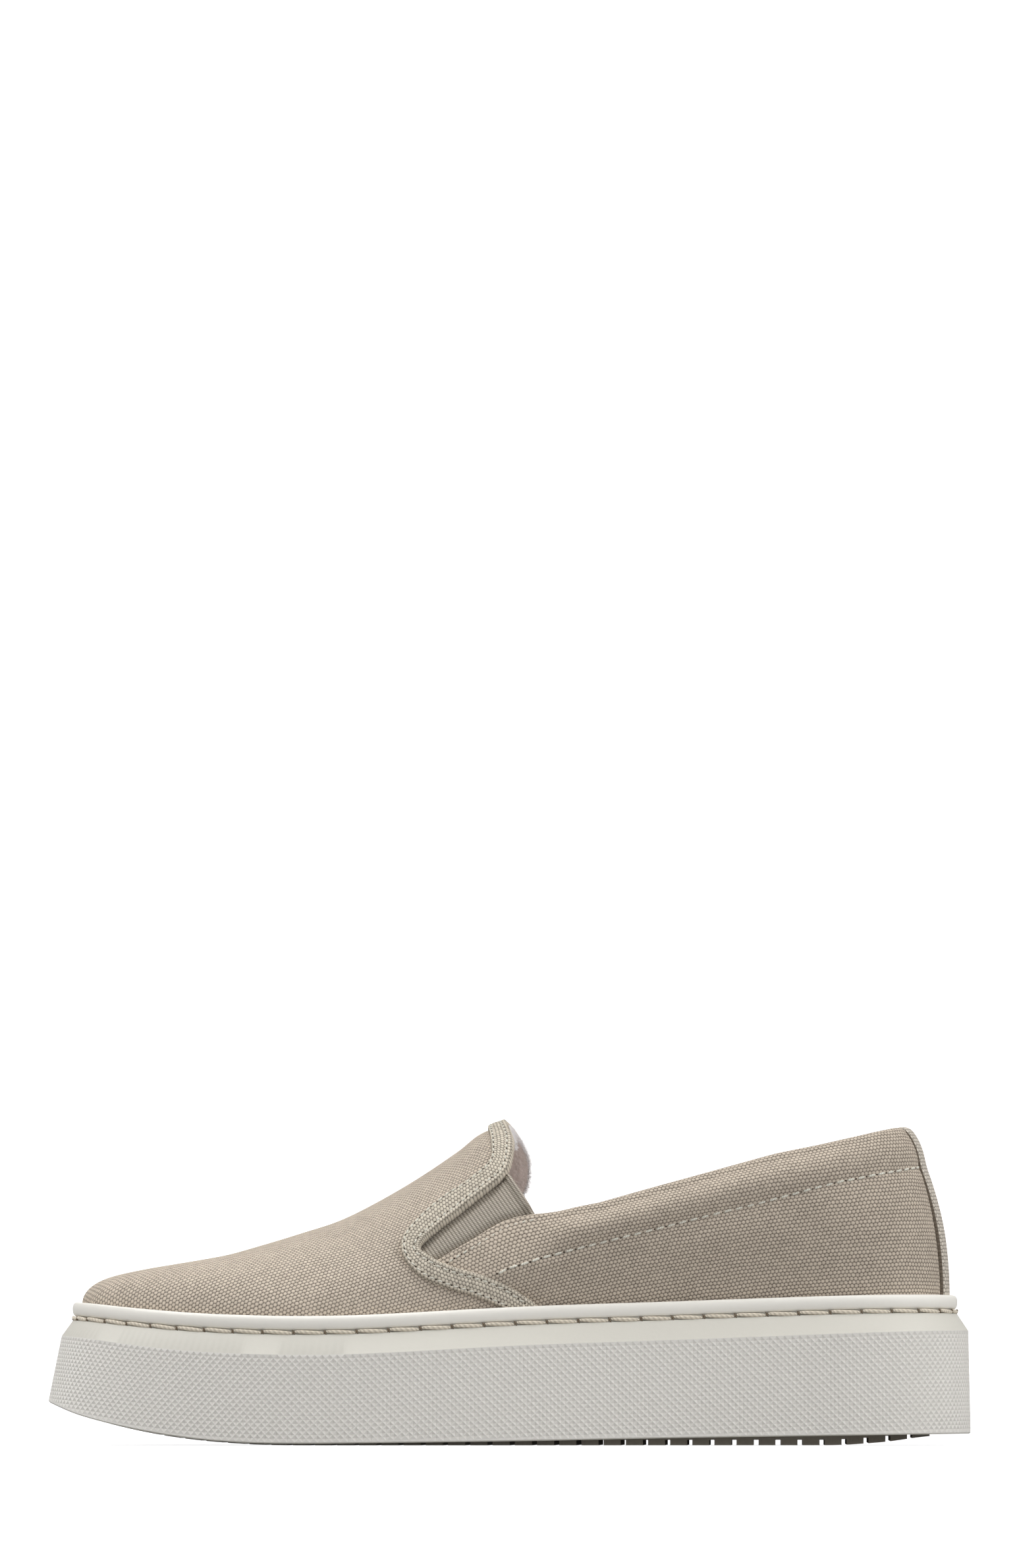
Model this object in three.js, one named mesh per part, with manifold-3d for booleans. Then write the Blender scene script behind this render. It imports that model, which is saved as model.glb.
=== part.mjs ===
// A canvas slip-on sneaker on a stitched platform cupsole: a left shoe, in millimetres.
// The toe points to -X, the heel to +X, the outer (lateral) side to -Y, the inner (medial) side to +Y, and +Z is up.
import * as THREE from "three";
import { mergeVertices } from "three/addons/utils/BufferGeometryUtils.js";
import Module from "manifold-3d";

const wasm = await Module();
wasm.setup();

// Driving sizes of the sole.
const soleLength = 276;
const ballWidth = 98;
const heelWidth = 76;
const soleHeight = 44.6; // floor to the top of the rim, at the heel
const wallDrop = 11.4; // rim top down to the top of the moulded wall
const rimHeight = 4.2;
const rimRound = 1.5;
const rimWidth = 2.6;
const rimHeel = 0.7; // how much wider the rim is behind the heel strip
const grooveHeight = 1.1; // the channel of the sole stitch
const grooveDepth = 1.3;
const bevelReach = 3.2;
const edgeChamfer = 0.7;
const cupDepth = 10; // rim top down to the floor of the cup
const treadThickness = 5;
const treadPitch = 6.5;
const treadGroove = 1.5;
const treadGrooveDepth = 1.6;
const treadTurn = 1.8; // degrees that the grooves are turned from straight across
const treadEdge = 3.5; // the lip beside the tread plate

// Driving sizes of the upper and of what is in it.
const instepRise = 53.2; // sole height to the peak of the throat
const heelRise = 51.7; // sole height to the top of the collar at the heel
const wall = 2;
const collarPad = 2.4; // what the foam adds inside the collar
const collarPuff = 0.7; // and outside
const bindingThickness = 1.2;
const goreThickness = 1.2;
const stripWidth = 17;
const stripThickness = 1;
const insoleThickness = 4.5;
const gap = 0.3;

// Where the round ends of the last begin, as shares of the length from the toe.
const toeCentre = 0.21;
const heelCentre = 0.845;
const endBlend = 7; // how softly the sections turn into the fans of the two ends

// How finely the forms are drawn.
const spans = 3;
const reach = 200; // longer than anything it cuts

const white = { color: 0xd8d5cc, roughness: 0.62, metalness: 0 };
const looks = {
  cupsole: new THREE.MeshStandardMaterial(white),
  tread: new THREE.MeshStandardMaterial({ ...white, color: 0xb9b6ae }),
  canvas: new THREE.MeshStandardMaterial({ color: 0xb3a795, roughness: 0.92, metalness: 0 }),
  elastic: new THREE.MeshStandardMaterial({ color: 0x9d9484, roughness: 0.85, metalness: 0 }),
  lining: new THREE.MeshStandardMaterial({ color: 0xd6cbc2, roughness: 0.97, metalness: 0 }),
};

// The sole in plan. along: share of the length from the toe. lateral and medial: shares of the named width.
const outline = [
  { along: 0.017, lateral: 0.049, medial: 0.291, width: ballWidth },
  { along: 0.039, lateral: 0.141, medial: 0.362, width: ballWidth },
  { along: 0.089, lateral: 0.264, medial: 0.439, width: ballWidth },
  { along: 0.146, lateral: 0.359, medial: 0.478, width: ballWidth },
  { along: 0.225, lateral: 0.451, medial: 0.498, width: ballWidth },
  { along: 0.29, lateral: 0.486, medial: 0.5, width: ballWidth },
  { along: 0.36, lateral: 0.5, medial: 0.478, width: ballWidth },
  { along: 0.44, lateral: 0.493, medial: 0.418, width: ballWidth },
  { along: 0.53, lateral: 0.464, medial: 0.365, width: ballWidth },
  { along: 0.62, lateral: 0.55, medial: 0.45, width: heelWidth },
  { along: 0.71, lateral: 0.511, medial: 0.476, width: heelWidth },
  { along: 0.8, lateral: 0.487, medial: 0.508, width: heelWidth },
  { along: 0.87, lateral: 0.468, medial: 0.513, width: heelWidth },
  { along: 0.925, lateral: 0.405, medial: 0.455, width: heelWidth },
  { along: 0.965, lateral: 0.297, medial: 0.35, width: heelWidth },
  { along: 0.987, lateral: 0.174, medial: 0.226, width: heelWidth },
];
const toeTip = 0.143; // share of the ball width, towards the medial side
const heelTip = 0.026; // share of the heel width

// The sole from the side. spring, lip and rim: shares of the sole height, for the underside of the tread, the
// underside of the lip beside it and the top of the rim. flare: how far the wall leans out, in wall drops. edge: the
// width of the lip, in tread edges.
const soleSide = [
  { along: 0, spring: 0.283, lip: 0.288, rim: 0.972, flare: 0.34, edge: 4.2 },
  { along: 0.04, spring: 0.19, lip: 0.195, rim: 0.95, flare: 0.3, edge: 3.4 },
  { along: 0.1, spring: 0.1, lip: 0.106, rim: 0.908, flare: 0.22, edge: 2 },
  { along: 0.16, spring: 0.04, lip: 0.047, rim: 0.875, flare: 0.17, edge: 1.2 },
  { along: 0.22, spring: 0.009, lip: 0.017, rim: 0.857, flare: 0.145, edge: 1 },
  { along: 0.28, spring: 0, lip: 0.011, rim: 0.85, flare: 0.14, edge: 1 },
  { along: 0.35, spring: 0, lip: 0.015, rim: 0.858, flare: 0.135, edge: 1 },
  { along: 0.52, spring: 0, lip: 0.029, rim: 0.914, flare: 0.12, edge: 1 },
  { along: 0.66, spring: 0, lip: 0.046, rim: 0.945, flare: 0.11, edge: 1 },
  { along: 0.84, spring: 0, lip: 0.063, rim: 0.985, flare: 0.09, edge: 1.4 },
  { along: 0.9, spring: 0.02, lip: 0.068, rim: 0.994, flare: 0.075, edge: 2 },
  { along: 0.945, spring: 0.054, lip: 0.072, rim: 0.998, flare: 0.062, edge: 2.7 },
  { along: 1, spring: 0.075, lip: 0.076, rim: 1, flare: 0.05, edge: 3.4 },
];

// The last. roof: height of its ridge over the sole height, in instep rises. ridge: how far the ridge lies to the
// medial side, in ball widths. plan and rise: the exponents that fill out the section from its edge and from its top.
const last = [
  { along: 0.03, roof: 0.09, ridge: 0.1, plan: 10, rise: 1.9 },
  { along: 0.1, roof: 0.147, ridge: 0.1, plan: 5.2, rise: 1.8 },
  { along: 0.19, roof: 0.226, ridge: 0.09, plan: 3.4, rise: 1.75 },
  { along: 0.232, roof: 0.288, ridge: 0.085, plan: 3, rise: 1.75 },
  { along: 0.275, roof: 0.355, ridge: 0.075, plan: 2.7, rise: 1.75 },
  { along: 0.318, roof: 0.427, ridge: 0.065, plan: 2.5, rise: 1.7 },
  { along: 0.361, roof: 0.541, ridge: 0.052, plan: 2.35, rise: 1.68 },
  { along: 0.404, roof: 0.675, ridge: 0.04, plan: 2.25, rise: 1.68 },
  { along: 0.447, roof: 0.825, ridge: 0.028, plan: 2.15, rise: 1.7 },
  { along: 0.4685, roof: 0.903, ridge: 0.023, plan: 2.12, rise: 1.72 },
  { along: 0.4987, roof: 0.966, ridge: 0.018, plan: 2.1, rise: 1.77 },
  { along: 0.54, roof: 1.06, ridge: 0.012, plan: 2.1, rise: 1.9 },
  { along: 0.61, roof: 1.24, ridge: 0.005, plan: 2.05, rise: 2.1 },
  { along: 0.72, roof: 1.3, ridge: 0.008, plan: 2, rise: 2.2 },
  { along: 0.845, roof: 1.32, ridge: 0.018, plan: 2, rise: 2.2 },
  { along: 1, roof: 1.32, ridge: 0.02, plan: 2.03, rise: 1.88 },
];

// Edges of the pattern from the side. along: share of the length from the toe. up: over the sole height, in instep rises.
const throatLateral = [
  { along: 0.4987, up: 1 },
  { along: 0.504, up: 0.872 },
  { along: 0.5054, up: 0.789 },
  { along: 0.498, up: 0.665 },
];
const throatMedial = [
  { along: 0.4987, up: 1 },
  { along: 0.512, up: 0.9 },
  { along: 0.5225, up: 0.81 },
  { along: 0.5255, up: 0.71 },
  { along: 0.522, up: 0.61 },
  { along: 0.515, up: 0.555 },
];
const goreTopLateral = [
  { along: 0.498, up: 0.665 },
  { along: 0.4841, up: 0.605 },
  { along: 0.4478, up: 0.451 },
  { along: 0.4134, up: 0.303 },
  { along: 0.4065, up: 0.237 },
];
const goreTopMedial = [
  { along: 0.515, up: 0.555 },
  { along: 0.492, up: 0.512 },
  { along: 0.451, up: 0.405 },
  { along: 0.4145, up: 0.28 },
  { along: 0.4065, up: 0.225 },
];
const goreBottom = [
  { along: 0.4065, up: 0.237 },
  { along: 0.4239, up: 0.179 },
  { along: 0.4428, up: 0.239 },
  { along: 0.4768, up: 0.346 },
  { along: 0.4942, up: 0.397 },
  { along: 0.512, up: 0.429 },
  { along: 0.5268, up: 0.446 },
];
const bindingOuterLateral = [
  { along: 0.479, up: 0.949 },
  { along: 0.4812, up: 0.827 },
  { along: 0.4815, up: 0.745 },
  { along: 0.4688, up: 0.671 },
  { along: 0.4377, up: 0.556 },
  { along: 0.4072, up: 0.434 },
  { along: 0.3891, up: 0.325 },
  { along: 0.3859, up: 0.237 },
  { along: 0.3949, up: 0.141 },
  { along: 0.4239, up: 0.043 },
  { along: 0.4594, up: -0.015 },
  { along: 0.4895, up: -0.073 },
  { along: 0.512, up: -0.13 },
];
const bindingOuterMedial = [
  { along: 0.479, up: 0.949 },
  { along: 0.488, up: 0.86 },
  { along: 0.498, up: 0.74 },
  { along: 0.492, up: 0.64 },
  { along: 0.476, up: 0.585 },
  { along: 0.438, up: 0.496 },
  { along: 0.4072, up: 0.404 },
  { along: 0.3891, up: 0.312 },
  { along: 0.3859, up: 0.227 },
  { along: 0.3949, up: 0.136 },
  { along: 0.4239, up: 0.043 },
  { along: 0.4594, up: -0.015 },
  { along: 0.4895, up: -0.073 },
  { along: 0.512, up: -0.13 },
];
const bindingTail = [
  { along: 0.4065, up: 0.237 },
  { along: 0.4159, up: 0.197 },
  { along: 0.4478, up: 0.128 },
  { along: 0.4826, up: 0.075 },
  { along: 0.512, up: -0.006 },
  { along: 0.5304, up: -0.073 },
  { along: 0.547, up: -0.14 },
];

// The collar. up: over the sole height, in heel rises. seam: the same, for the stitch line under the padding.
const collar = [
  { along: 0.5268, up: 0.458, seam: 0.159 },
  { along: 0.554, up: 0.474, seam: 0.212 },
  { along: 0.5967, up: 0.518, seam: 0.279 },
  { along: 0.639, up: 0.584, seam: 0.333 },
  { along: 0.6605, up: 0.617, seam: 0.362 },
  { along: 0.7029, up: 0.681, seam: 0.43 },
  { along: 0.788, up: 0.81, seam: 0.52 },
  { along: 0.8304, up: 0.861, seam: 0.58 },
  { along: 0.8736, up: 0.919, seam: 0.65 },
  { along: 0.8960, up: 0.95, seam: 0.681 },
  { along: 0.9188, up: 0.992, seam: 0.706 },
  { along: 0.9297, up: 1, seam: 0.716 },
  { along: 0.98, up: 1.01, seam: 0.75 },
];

// Reads a column of a table at a share along the shoe, with a smooth curve through its rows.
function read(table, column, along) {
  const end = table.length - 1;
  const at = Math.min(Math.max(along, table[0].along), table[end].along);
  let row = table.findIndex((r) => r.along >= at);
  row = Math.max(row, 1) - 1;
  const slope = (i) => {
    const a = table[Math.max(i - 1, 0)];
    const b = table[Math.min(i + 1, end)];
    return (b[column] - a[column]) / (b.along - a.along);
  };
  const span = table[row + 1].along - table[row].along;
  const t = (at - table[row].along) / span;
  const [t2, t3] = [t * t, t * t * t];
  return (
    (2 * t3 - 3 * t2 + 1) * table[row][column] +
    (t3 - 2 * t2 + t) * span * slope(row) +
    (3 * t2 - 2 * t3) * table[row + 1][column] +
    (t3 - t2) * span * slope(row + 1)
  );
}

const xAt = (along) => (along - 0.5) * soleLength;
const alongAt = (x) => x / soleLength + 0.5;
const mix = (a, b, t) => a + (b - a) * t;
const smooth = (low, high, value) => THREE.MathUtils.smoothstep(value, low, high);
const springAt = (along) => Math.max(read(soleSide, "spring", along), 0) * soleHeight;
const lipAt = (along) => read(soleSide, "lip", along) * soleHeight;
const rimTopAt = (along) => read(soleSide, "rim", along) * soleHeight;
const flareAt = (along) => read(soleSide, "flare", along) * wallDrop;
const cupFloorAt = (along) => rimTopAt(along) - cupDepth;
const roofAt = (along) => soleHeight + read(last, "roof", along) * instepRise;
const ridgeAt = (along) => read(last, "ridge", along) * ballWidth;

// The columns round the shoe: from the toe tip along the lateral side to the heel tip, and back along the medial side.
function outlineColumns() {
  const tip = (along, share, width) => new THREE.Vector3(xAt(along), share * width, 0);
  const lateral = outline.map((r) => new THREE.Vector3(xAt(r.along), -r.lateral * r.width, 0));
  const medial = outline.map((r) => new THREE.Vector3(xAt(r.along), r.medial * r.width, 0));
  const points = [tip(0, toeTip, ballWidth), ...lateral, tip(1, heelTip, heelWidth), ...medial.reverse()];
  const curve = new THREE.CatmullRomCurve3(points, true, "centripetal");
  const count = points.length * spans;
  return Array.from({ length: count }, (_, i) => {
    const edge = curve.getPoint(i / count);
    const tangent = curve.getTangent(i / count);
    return { edge, out: new THREE.Vector3(tangent.y, -tangent.x, 0), along: alongAt(edge.x) };
  });
}
const columns = outlineColumns();
const perSide = columns.length / 2;

// A point of a column, set in from the sole's edge.
const inFrom = (column, inset) => column.edge.clone().addScaledVector(column.out, -inset);

// Turns three.js geometry into a solid, and a solid into three.js geometry.
function solidOf(geometry) {
  const bare = new THREE.BufferGeometry().setAttribute("position", geometry.getAttribute("position"));
  bare.setIndex(geometry.index);
  const merged = mergeVertices(bare, 1e-4);
  return new wasm.Manifold(
    new wasm.Mesh({
      numProp: 3,
      vertProperties: new Float32Array(merged.attributes.position.array),
      triVerts: new Uint32Array(merged.index.array),
    }),
  );
}

function geometryOf(solid) {
  const mesh = solid.getMesh();
  const geometry = new THREE.BufferGeometry();
  geometry.setAttribute("position", new THREE.BufferAttribute(mesh.vertProperties, mesh.numProp));
  geometry.setIndex(new THREE.BufferAttribute(mesh.triVerts, 1));
  geometry.computeVertexNormals();
  return geometry;
}

// A closed form from rings that run round the shoe. Its first and last rings are closed by rungs from side to side.
function stack(rings) {
  const count = columns.length;
  const positions = rings.flatMap((ring) => ring.flatMap((p) => [p.x, p.y, p.z]));
  const faces = [];
  for (let r = 0; r + 1 < rings.length; r++)
    for (let i = 0; i < count; i++) {
      const j = (i + 1) % count;
      const [a, b, c, d] = [r * count + i, r * count + j, (r + 1) * count + j, (r + 1) * count + i];
      faces.push(a, b, c, a, c, d);
    }
  const top = (rings.length - 1) * count;
  for (let i = 0; i < perSide; i++) {
    const [a, b] = [i, i + 1];
    const [d, c] = [(count - i) % count, count - i - 1];
    faces.push(a, d, c, a, c, b);
    faces.push(top + a, top + c, top + d, top + a, top + b, top + c);
  }
  const geometry = new THREE.BufferGeometry();
  geometry.setAttribute("position", new THREE.Float32BufferAttribute(positions, 3));
  geometry.setIndex(faces);
  return solidOf(geometry);
}

// One ring: every column set in by a rule, and then lifted by a rule for the place it has come to.
function ring(inset, height) {
  const points = columns.map((c) => inFrom(c, inset(c.along)));
  return points.map((p) => p.setZ(height(alongAt(p.x))));
}

// Steps of the sole's side, as insets from its outer edge.
const wallTopAt = (along) => rimTopAt(along) - wallDrop + edgeChamfer * (read(soleSide, "edge", along) - 1) * 0.5;
const bevelInset = (along) => flareAt(along) + bevelReach;
const rimInset = (along) => bevelInset(along) + rimWidth + rimHeel * smooth(0.93, 0.995, along);
const upperInset = (along) => rimInset(along) + gap;
const treadInset = (along) => treadEdge * read(soleSide, "edge", along);

function cupsole() {
  const grooveTop = (a) => rimTopAt(a) - rimHeight;
  const grooveBottom = (a) => grooveTop(a) - grooveHeight;
  const ceiling = (a) => springAt(a) + treadThickness + gap;
  return stack([
    ring(treadInset, ceiling),
    ring(treadInset, lipAt),
    ring(() => edgeChamfer, lipAt),
    ring(() => 0, (a) => lipAt(a) + edgeChamfer),
    ring(flareAt, wallTopAt),
    ring(bevelInset, grooveBottom),
    ring((a) => bevelInset(a) + grooveDepth, grooveBottom),
    ring((a) => bevelInset(a) + grooveDepth, grooveTop),
    ring(bevelInset, (a) => grooveTop(a) + gap),
    ring(bevelInset, (a) => rimTopAt(a) - rimRound),
    ring((a) => bevelInset(a) + rimRound * 0.3, (a) => rimTopAt(a) - rimRound * 0.3),
    ring((a) => bevelInset(a) + rimRound, rimTopAt),
    ring(rimInset, rimTopAt),
    ring(rimInset, cupFloorAt),
  ]);
}

// The plate that walks on the floor, cut across by the grooves of its tread.
function tread() {
  const inset = (a) => treadInset(a) + gap;
  const plate = stack([
    ring(inset, springAt),
    ring(inset, (a) => springAt(a) + treadThickness),
  ]);
  const cutter = new THREE.BoxGeometry(treadGroove, reach, treadGrooveDepth * 2);
  cutter.rotateZ(THREE.MathUtils.degToRad(-treadTurn));
  const first = xAt(0.132);
  const grooves = Math.floor((xAt(0.94) - first) / treadPitch);
  let cut = plate;
  for (let i = 0; i <= grooves; i++) {
    const x = first + i * treadPitch;
    cut = cut.subtract(solidOf(cutter.clone().translate(x, 0, springAt(alongAt(x)))));
  }
  return cut;
}

// A section plane of the last: its foot on the edge of the sole and its head on the ridge.
function section(column) {
  const foot = inFrom(column, upperInset(column.along));
  const soft = (value) => endBlend * Math.log1p(Math.exp(value / endBlend));
  const fromToe = xAt(toeCentre) + soft(foot.x - xAt(toeCentre));
  const x = xAt(heelCentre) - soft(xAt(heelCentre) - fromToe);
  const along = alongAt(foot.x);
  return {
    foot,
    head: new THREE.Vector3(x, ridgeAt(alongAt(x)), 0),
    rim: rimTopAt(along),
    floor: cupFloorAt(along) + gap,
    plan: read(last, "plan", along),
    rise: read(last, "rise", along),
  };
}
const sections = columns.map(section);

// A point of the last's surface. out is 0 on the ridge and 1 at the rim.
function lastPoint(s, out) {
  const p = s.head.clone().lerp(s.foot, out);
  const arch = Math.pow(Math.max(1 - Math.pow(out, s.plan), 0), 1 / s.rise);
  p.z = mix(s.rim, roofAt(alongAt(p.x)), arch);
  return p;
}

// The rows of a section, from the floor of the cup to the ridge, spaced by length along the surface.
const rows = [0, 0.035, 0.08, 0.135, 0.2, 0.29, 0.4, 0.52, 0.66, 0.82];
function sectionRows(s) {
  const fine = 90;
  const path = Array.from({ length: fine + 1 }, (_, i) => {
    const turn = (i / fine) * Math.PI * 0.5;
    return lastPoint(s, Math.pow(Math.cos(turn), mix(2 / s.plan, 1, i / fine)));
  });
  const lengths = [0];
  for (let i = 1; i <= fine; i++) lengths.push(lengths[i - 1] + path[i].distanceTo(path[i - 1]));
  const at = (share) => {
    const want = share * lengths[fine];
    const i = Math.max(lengths.findIndex((l) => l >= want), 1);
    const t = (want - lengths[i - 1]) / (lengths[i] - lengths[i - 1]);
    return path[i - 1].clone().lerp(path[i], t);
  };
  const floor = s.foot.clone().setZ(s.floor);
  return [floor, ...rows.map(at), lastPoint(s, 0)];
}

// The last as an open grid, with the outward normal at each of its points.
function lastGrid() {
  const grid = sections.map(sectionRows);
  const count = grid.length;
  const height = grid[0].length;
  const opposite = (i) => (count - i) % count;
  const normals = grid.map((column, i) =>
    column.map((_, r) => {
      const across = grid[(i + 1) % count][r].clone().sub(grid[(i + count - 1) % count][r]);
      if (r === height - 1) across.set(1, 0, (roofAt(alongAt(column[r].x) + 0.01) - column[r].z) / (0.01 * soleLength));
      const above = r === height - 1 ? grid[opposite(i)][r - 1] : column[r + 1];
      const up = above.clone().sub(column[Math.max(r - 1, 0)]);
      const normal = across.cross(up).normalize();
      if (r === height - 1 && normal.z < 0) normal.negate();
      return normal;
    }),
  );
  return { grid, normals };
}
const { grid: lastPoints, normals: lastNormals } = lastGrid();

// How much the padding of the collar swells the surface at a point: 0 below its seam, 1 in the middle of the pad.
function padAt(p) {
  const along = alongAt(p.x);
  if (along < collar[0].along) return 0;
  const top = soleHeight + read(collar, "up", along) * heelRise;
  const seam = soleHeight + read(collar, "seam", along) * heelRise;
  return smooth(seam, mix(seam, top, 0.35), p.z) * smooth(0.012, 0.06, along - collar[0].along);
}

// The last as a solid, grown by a rule. deeper lowers its underside, so that it can cut through a piece.
function lastSolid(growth, deeper = 0) {
  const moved = lastPoints.map((column, i) =>
    column.map((p, r) => {
      const q = p.clone().addScaledVector(lastNormals[i][r], growth(p));
      if (r === 0) q.z = p.z - deeper;
      return q;
    }),
  );
  const height = moved[0].length;
  const rings = Array.from({ length: height }, (_, r) => moved.map((column) => column[r]));
  const ridge = rings[height - 1];
  ridge.forEach((p, i) => {
    const other = ridge[(columns.length - i) % columns.length];
    if (i < perSide) other.copy(p);
  });
  return stack(rings);
}

// A cutter with an outline drawn from the side, as points in x and z, reaching from low to high in y.
function sideCutter(points, low, high) {
  const shape = new THREE.Shape(points.map((p) => new THREE.Vector2(p.x, p.z)));
  const geometry = new THREE.ExtrudeGeometry(shape, { depth: high - low, bevelEnabled: false });
  geometry.rotateX(Math.PI / 2).translate(0, high, 0);
  return solidOf(geometry);
}

// A pattern edge as a smooth run of points in x and z.
function edge(table, rise = instepRise, column = "up") {
  const points = table.map((r) => new THREE.Vector2(xAt(r.along), soleHeight + r[column] * rise));
  return new THREE.SplineCurve(points).getPoints((table.length - 1) * 3).map((p) => ({ x: p.x, z: p.y }));
}

const backwards = (points) => [...points].reverse();
const split = ridgeAt(collar[0].along);
const overSplit = 0.05;
const sides = {
  lateral: { low: -reach, high: split + overSplit, throat: throatLateral, gore: goreTopLateral, outer: bindingOuterLateral },
  medial: { low: split - overSplit, high: reach, throat: throatMedial, gore: goreTopMedial, outer: bindingOuterMedial },
};

// What the foot's opening takes away on one side, with the window of the elastic.
function opening(side) {
  const points = [
    { x: xAt(side.throat[0].along), z: reach },
    ...edge(side.throat),
    ...edge(side.gore).slice(1),
    ...edge(goreBottom).slice(1),
    ...edge(collar, heelRise).slice(1),
    { x: reach, z: soleHeight + heelRise },
    { x: reach, z: reach },
  ];
  return sideCutter(points, side.low, side.high);
}

function upper() {
  const skin = lastSolid((p) => collarPuff * padAt(p));
  const hollow = lastSolid((p) => -wall - collarPad * padAt(p), gap * 2);
  const shell = skin.subtract(hollow);
  return Object.values(sides).reduce((solid, side) => solid.subtract(opening(side)), shell);
}

// What keeps the overlays clear of the rim.
const rimGuard = stack([ring(() => 0, () => -reach), ring(() => 0, (a) => rimTopAt(a) + gap * 1.4)]);

// A layer on the last between two depths.
const layer = (inner, outer) => lastSolid(() => outer).subtract(lastSolid(() => inner, gap));

// The stitched band round the vamp's edge, from sole to sole over the throat.
function binding() {
  const band = layer(gap, gap + bindingThickness);
  const parts = Object.values(sides).map((side) => {
    const inner = [...edge(side.throat), ...edge(side.gore).slice(1), ...edge(bindingTail).slice(1)];
    const outline = [
      { x: xAt(side.throat[0].along), z: reach },
      ...inner,
      ...backwards(edge(side.outer)),
      { x: xAt(side.outer[0].along), z: reach },
    ];
    return band.intersect(sideCutter(outline, side.low, side.high));
  });
  return parts[0].add(parts[1]).subtract(rimGuard);
}

// The elastic of one side, sewn behind the vamp and the quarter.
function gore(side) {
  const under = 3;
  const shift = (points, x, z) => points.map((p) => ({ x: p.x + x, z: p.z + z }));
  const corner = edge(side.gore)[0];
  const foot = edge(goreBottom).at(-1);
  const hem = { x: (foot.x - corner.x) * 0.16, z: (foot.z - corner.z) * 0.16 };
  const outline = [
    { x: corner.x - hem.x, z: corner.z - hem.z },
    ...shift(edge(side.gore).slice(3), -under * 0.7, under * 0.7),
    ...shift(edge(goreBottom).slice(3, -1), under * 0.3, -under),
    { x: foot.x + hem.x, z: foot.z + hem.z },
  ];
  const sheet = layer(-wall - gap - goreThickness, -wall - gap);
  return sheet.intersect(sideCutter(outline, side.low, side.high));
}

// The strip that covers the seam at the back of the heel.
function heelStrip() {
  const centre = heelTip * heelWidth;
  const growth = (depth) => (p) => depth + collarPuff * padAt(p);
  const shell = lastSolid(growth(gap + stripThickness)).subtract(lastSolid(growth(gap), gap));
  const top = soleHeight + heelRise;
  const width = new THREE.BoxGeometry(reach, stripWidth, top).translate(reach / 2 + xAt(heelCentre), centre, top / 2);
  return shell.intersect(solidOf(width)).subtract(rimGuard);
}

// The footbed in the cup.
function insole() {
  const inset = (a) => upperInset(a) + wall + gap * 2;
  const floor = (a) => cupFloorAt(a) + gap;
  const softEdge = 1;
  return stack([
    ring(inset, floor),
    ring(inset, (a) => floor(a) + insoleThickness - softEdge),
    ring((a) => inset(a) + softEdge, (a) => floor(a) + insoleThickness),
  ]);
}

const shoe = new THREE.Group();
function add(name, solid, look) {
  const mesh = new THREE.Mesh(geometryOf(solid), look);
  mesh.name = name;
  shoe.add(mesh);
}
add("cupsole", cupsole(), looks.cupsole);
add("tread", tread(), looks.tread);
add("upper", upper(), looks.canvas);
add("binding", binding(), looks.canvas);
add("gore_lateral", gore(sides.lateral), looks.elastic);
add("gore_medial", gore(sides.medial), looks.elastic);
add("heel_strip", heelStrip(), looks.canvas);
add("insole", insole(), looks.lining);

export default shoe;
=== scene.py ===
import logging
import math
from collections.abc import Callable
from dataclasses import dataclass
from enum import Enum

import bpy
import numpy as np
from bpy.types import Material, Node, NodeTree, Object
from bpy.types import NodeSocket as Socket
from bpy.types import bpy_prop_collection as Sockets
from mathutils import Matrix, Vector
from mathutils.bvhtree import BVHTree


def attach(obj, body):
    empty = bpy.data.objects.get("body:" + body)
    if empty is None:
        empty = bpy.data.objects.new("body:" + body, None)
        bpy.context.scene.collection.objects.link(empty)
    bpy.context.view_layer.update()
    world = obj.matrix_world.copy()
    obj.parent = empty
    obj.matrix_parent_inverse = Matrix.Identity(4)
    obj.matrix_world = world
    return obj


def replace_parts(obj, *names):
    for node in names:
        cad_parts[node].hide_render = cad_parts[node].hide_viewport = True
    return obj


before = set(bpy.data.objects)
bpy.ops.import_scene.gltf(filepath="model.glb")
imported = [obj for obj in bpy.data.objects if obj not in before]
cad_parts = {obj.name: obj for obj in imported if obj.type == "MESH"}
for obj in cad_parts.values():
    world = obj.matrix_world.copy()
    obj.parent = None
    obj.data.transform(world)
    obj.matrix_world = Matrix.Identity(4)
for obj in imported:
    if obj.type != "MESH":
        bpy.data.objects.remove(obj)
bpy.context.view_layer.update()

LOG = logging.getLogger("sneaker")
MM = 0.001  # the script works in millimetres and places its meshes in metres
ROOT = "root"
STRIP_CLEAR = 9.0  # how far from the middle of the heel the collar's stitches end
STRIP_BEGINS = 90  # the X behind which they can meet the heel's strip
TAU = 2 * math.pi
VECTOR = "NodeSocketVector"
FLOAT = "NodeSocketFloat"
Colour = tuple[float, float, float]
Pair = tuple[Socket, Socket]


class Side(Enum):
    """The two sides of the shoe, as the sign of their Y."""

    LATERAL = -1
    MEDIAL = 1


class Slot(Enum):
    """The material slots."""

    CUPSOLE = "cupsole"
    TREAD = "tread"
    CANVAS = "canvas"
    BINDING = "binding"
    ELASTIC = "elastic"
    STRIP = "strip"
    LINING = "lining"


def smooth(low: float, high: float, value: float | np.ndarray) -> np.ndarray:
    """Rises from 0 at low to 1 at high, with soft ends."""
    t = np.clip((value - low) / (high - low), 0, 1)
    return t * t * (3 - 2 * t)


def unit(vectors: np.ndarray) -> np.ndarray:
    """Returns the vectors at length 1."""
    return vectors / np.maximum(np.linalg.norm(vectors, axis=-1, keepdims=True), 1e-12)


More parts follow.
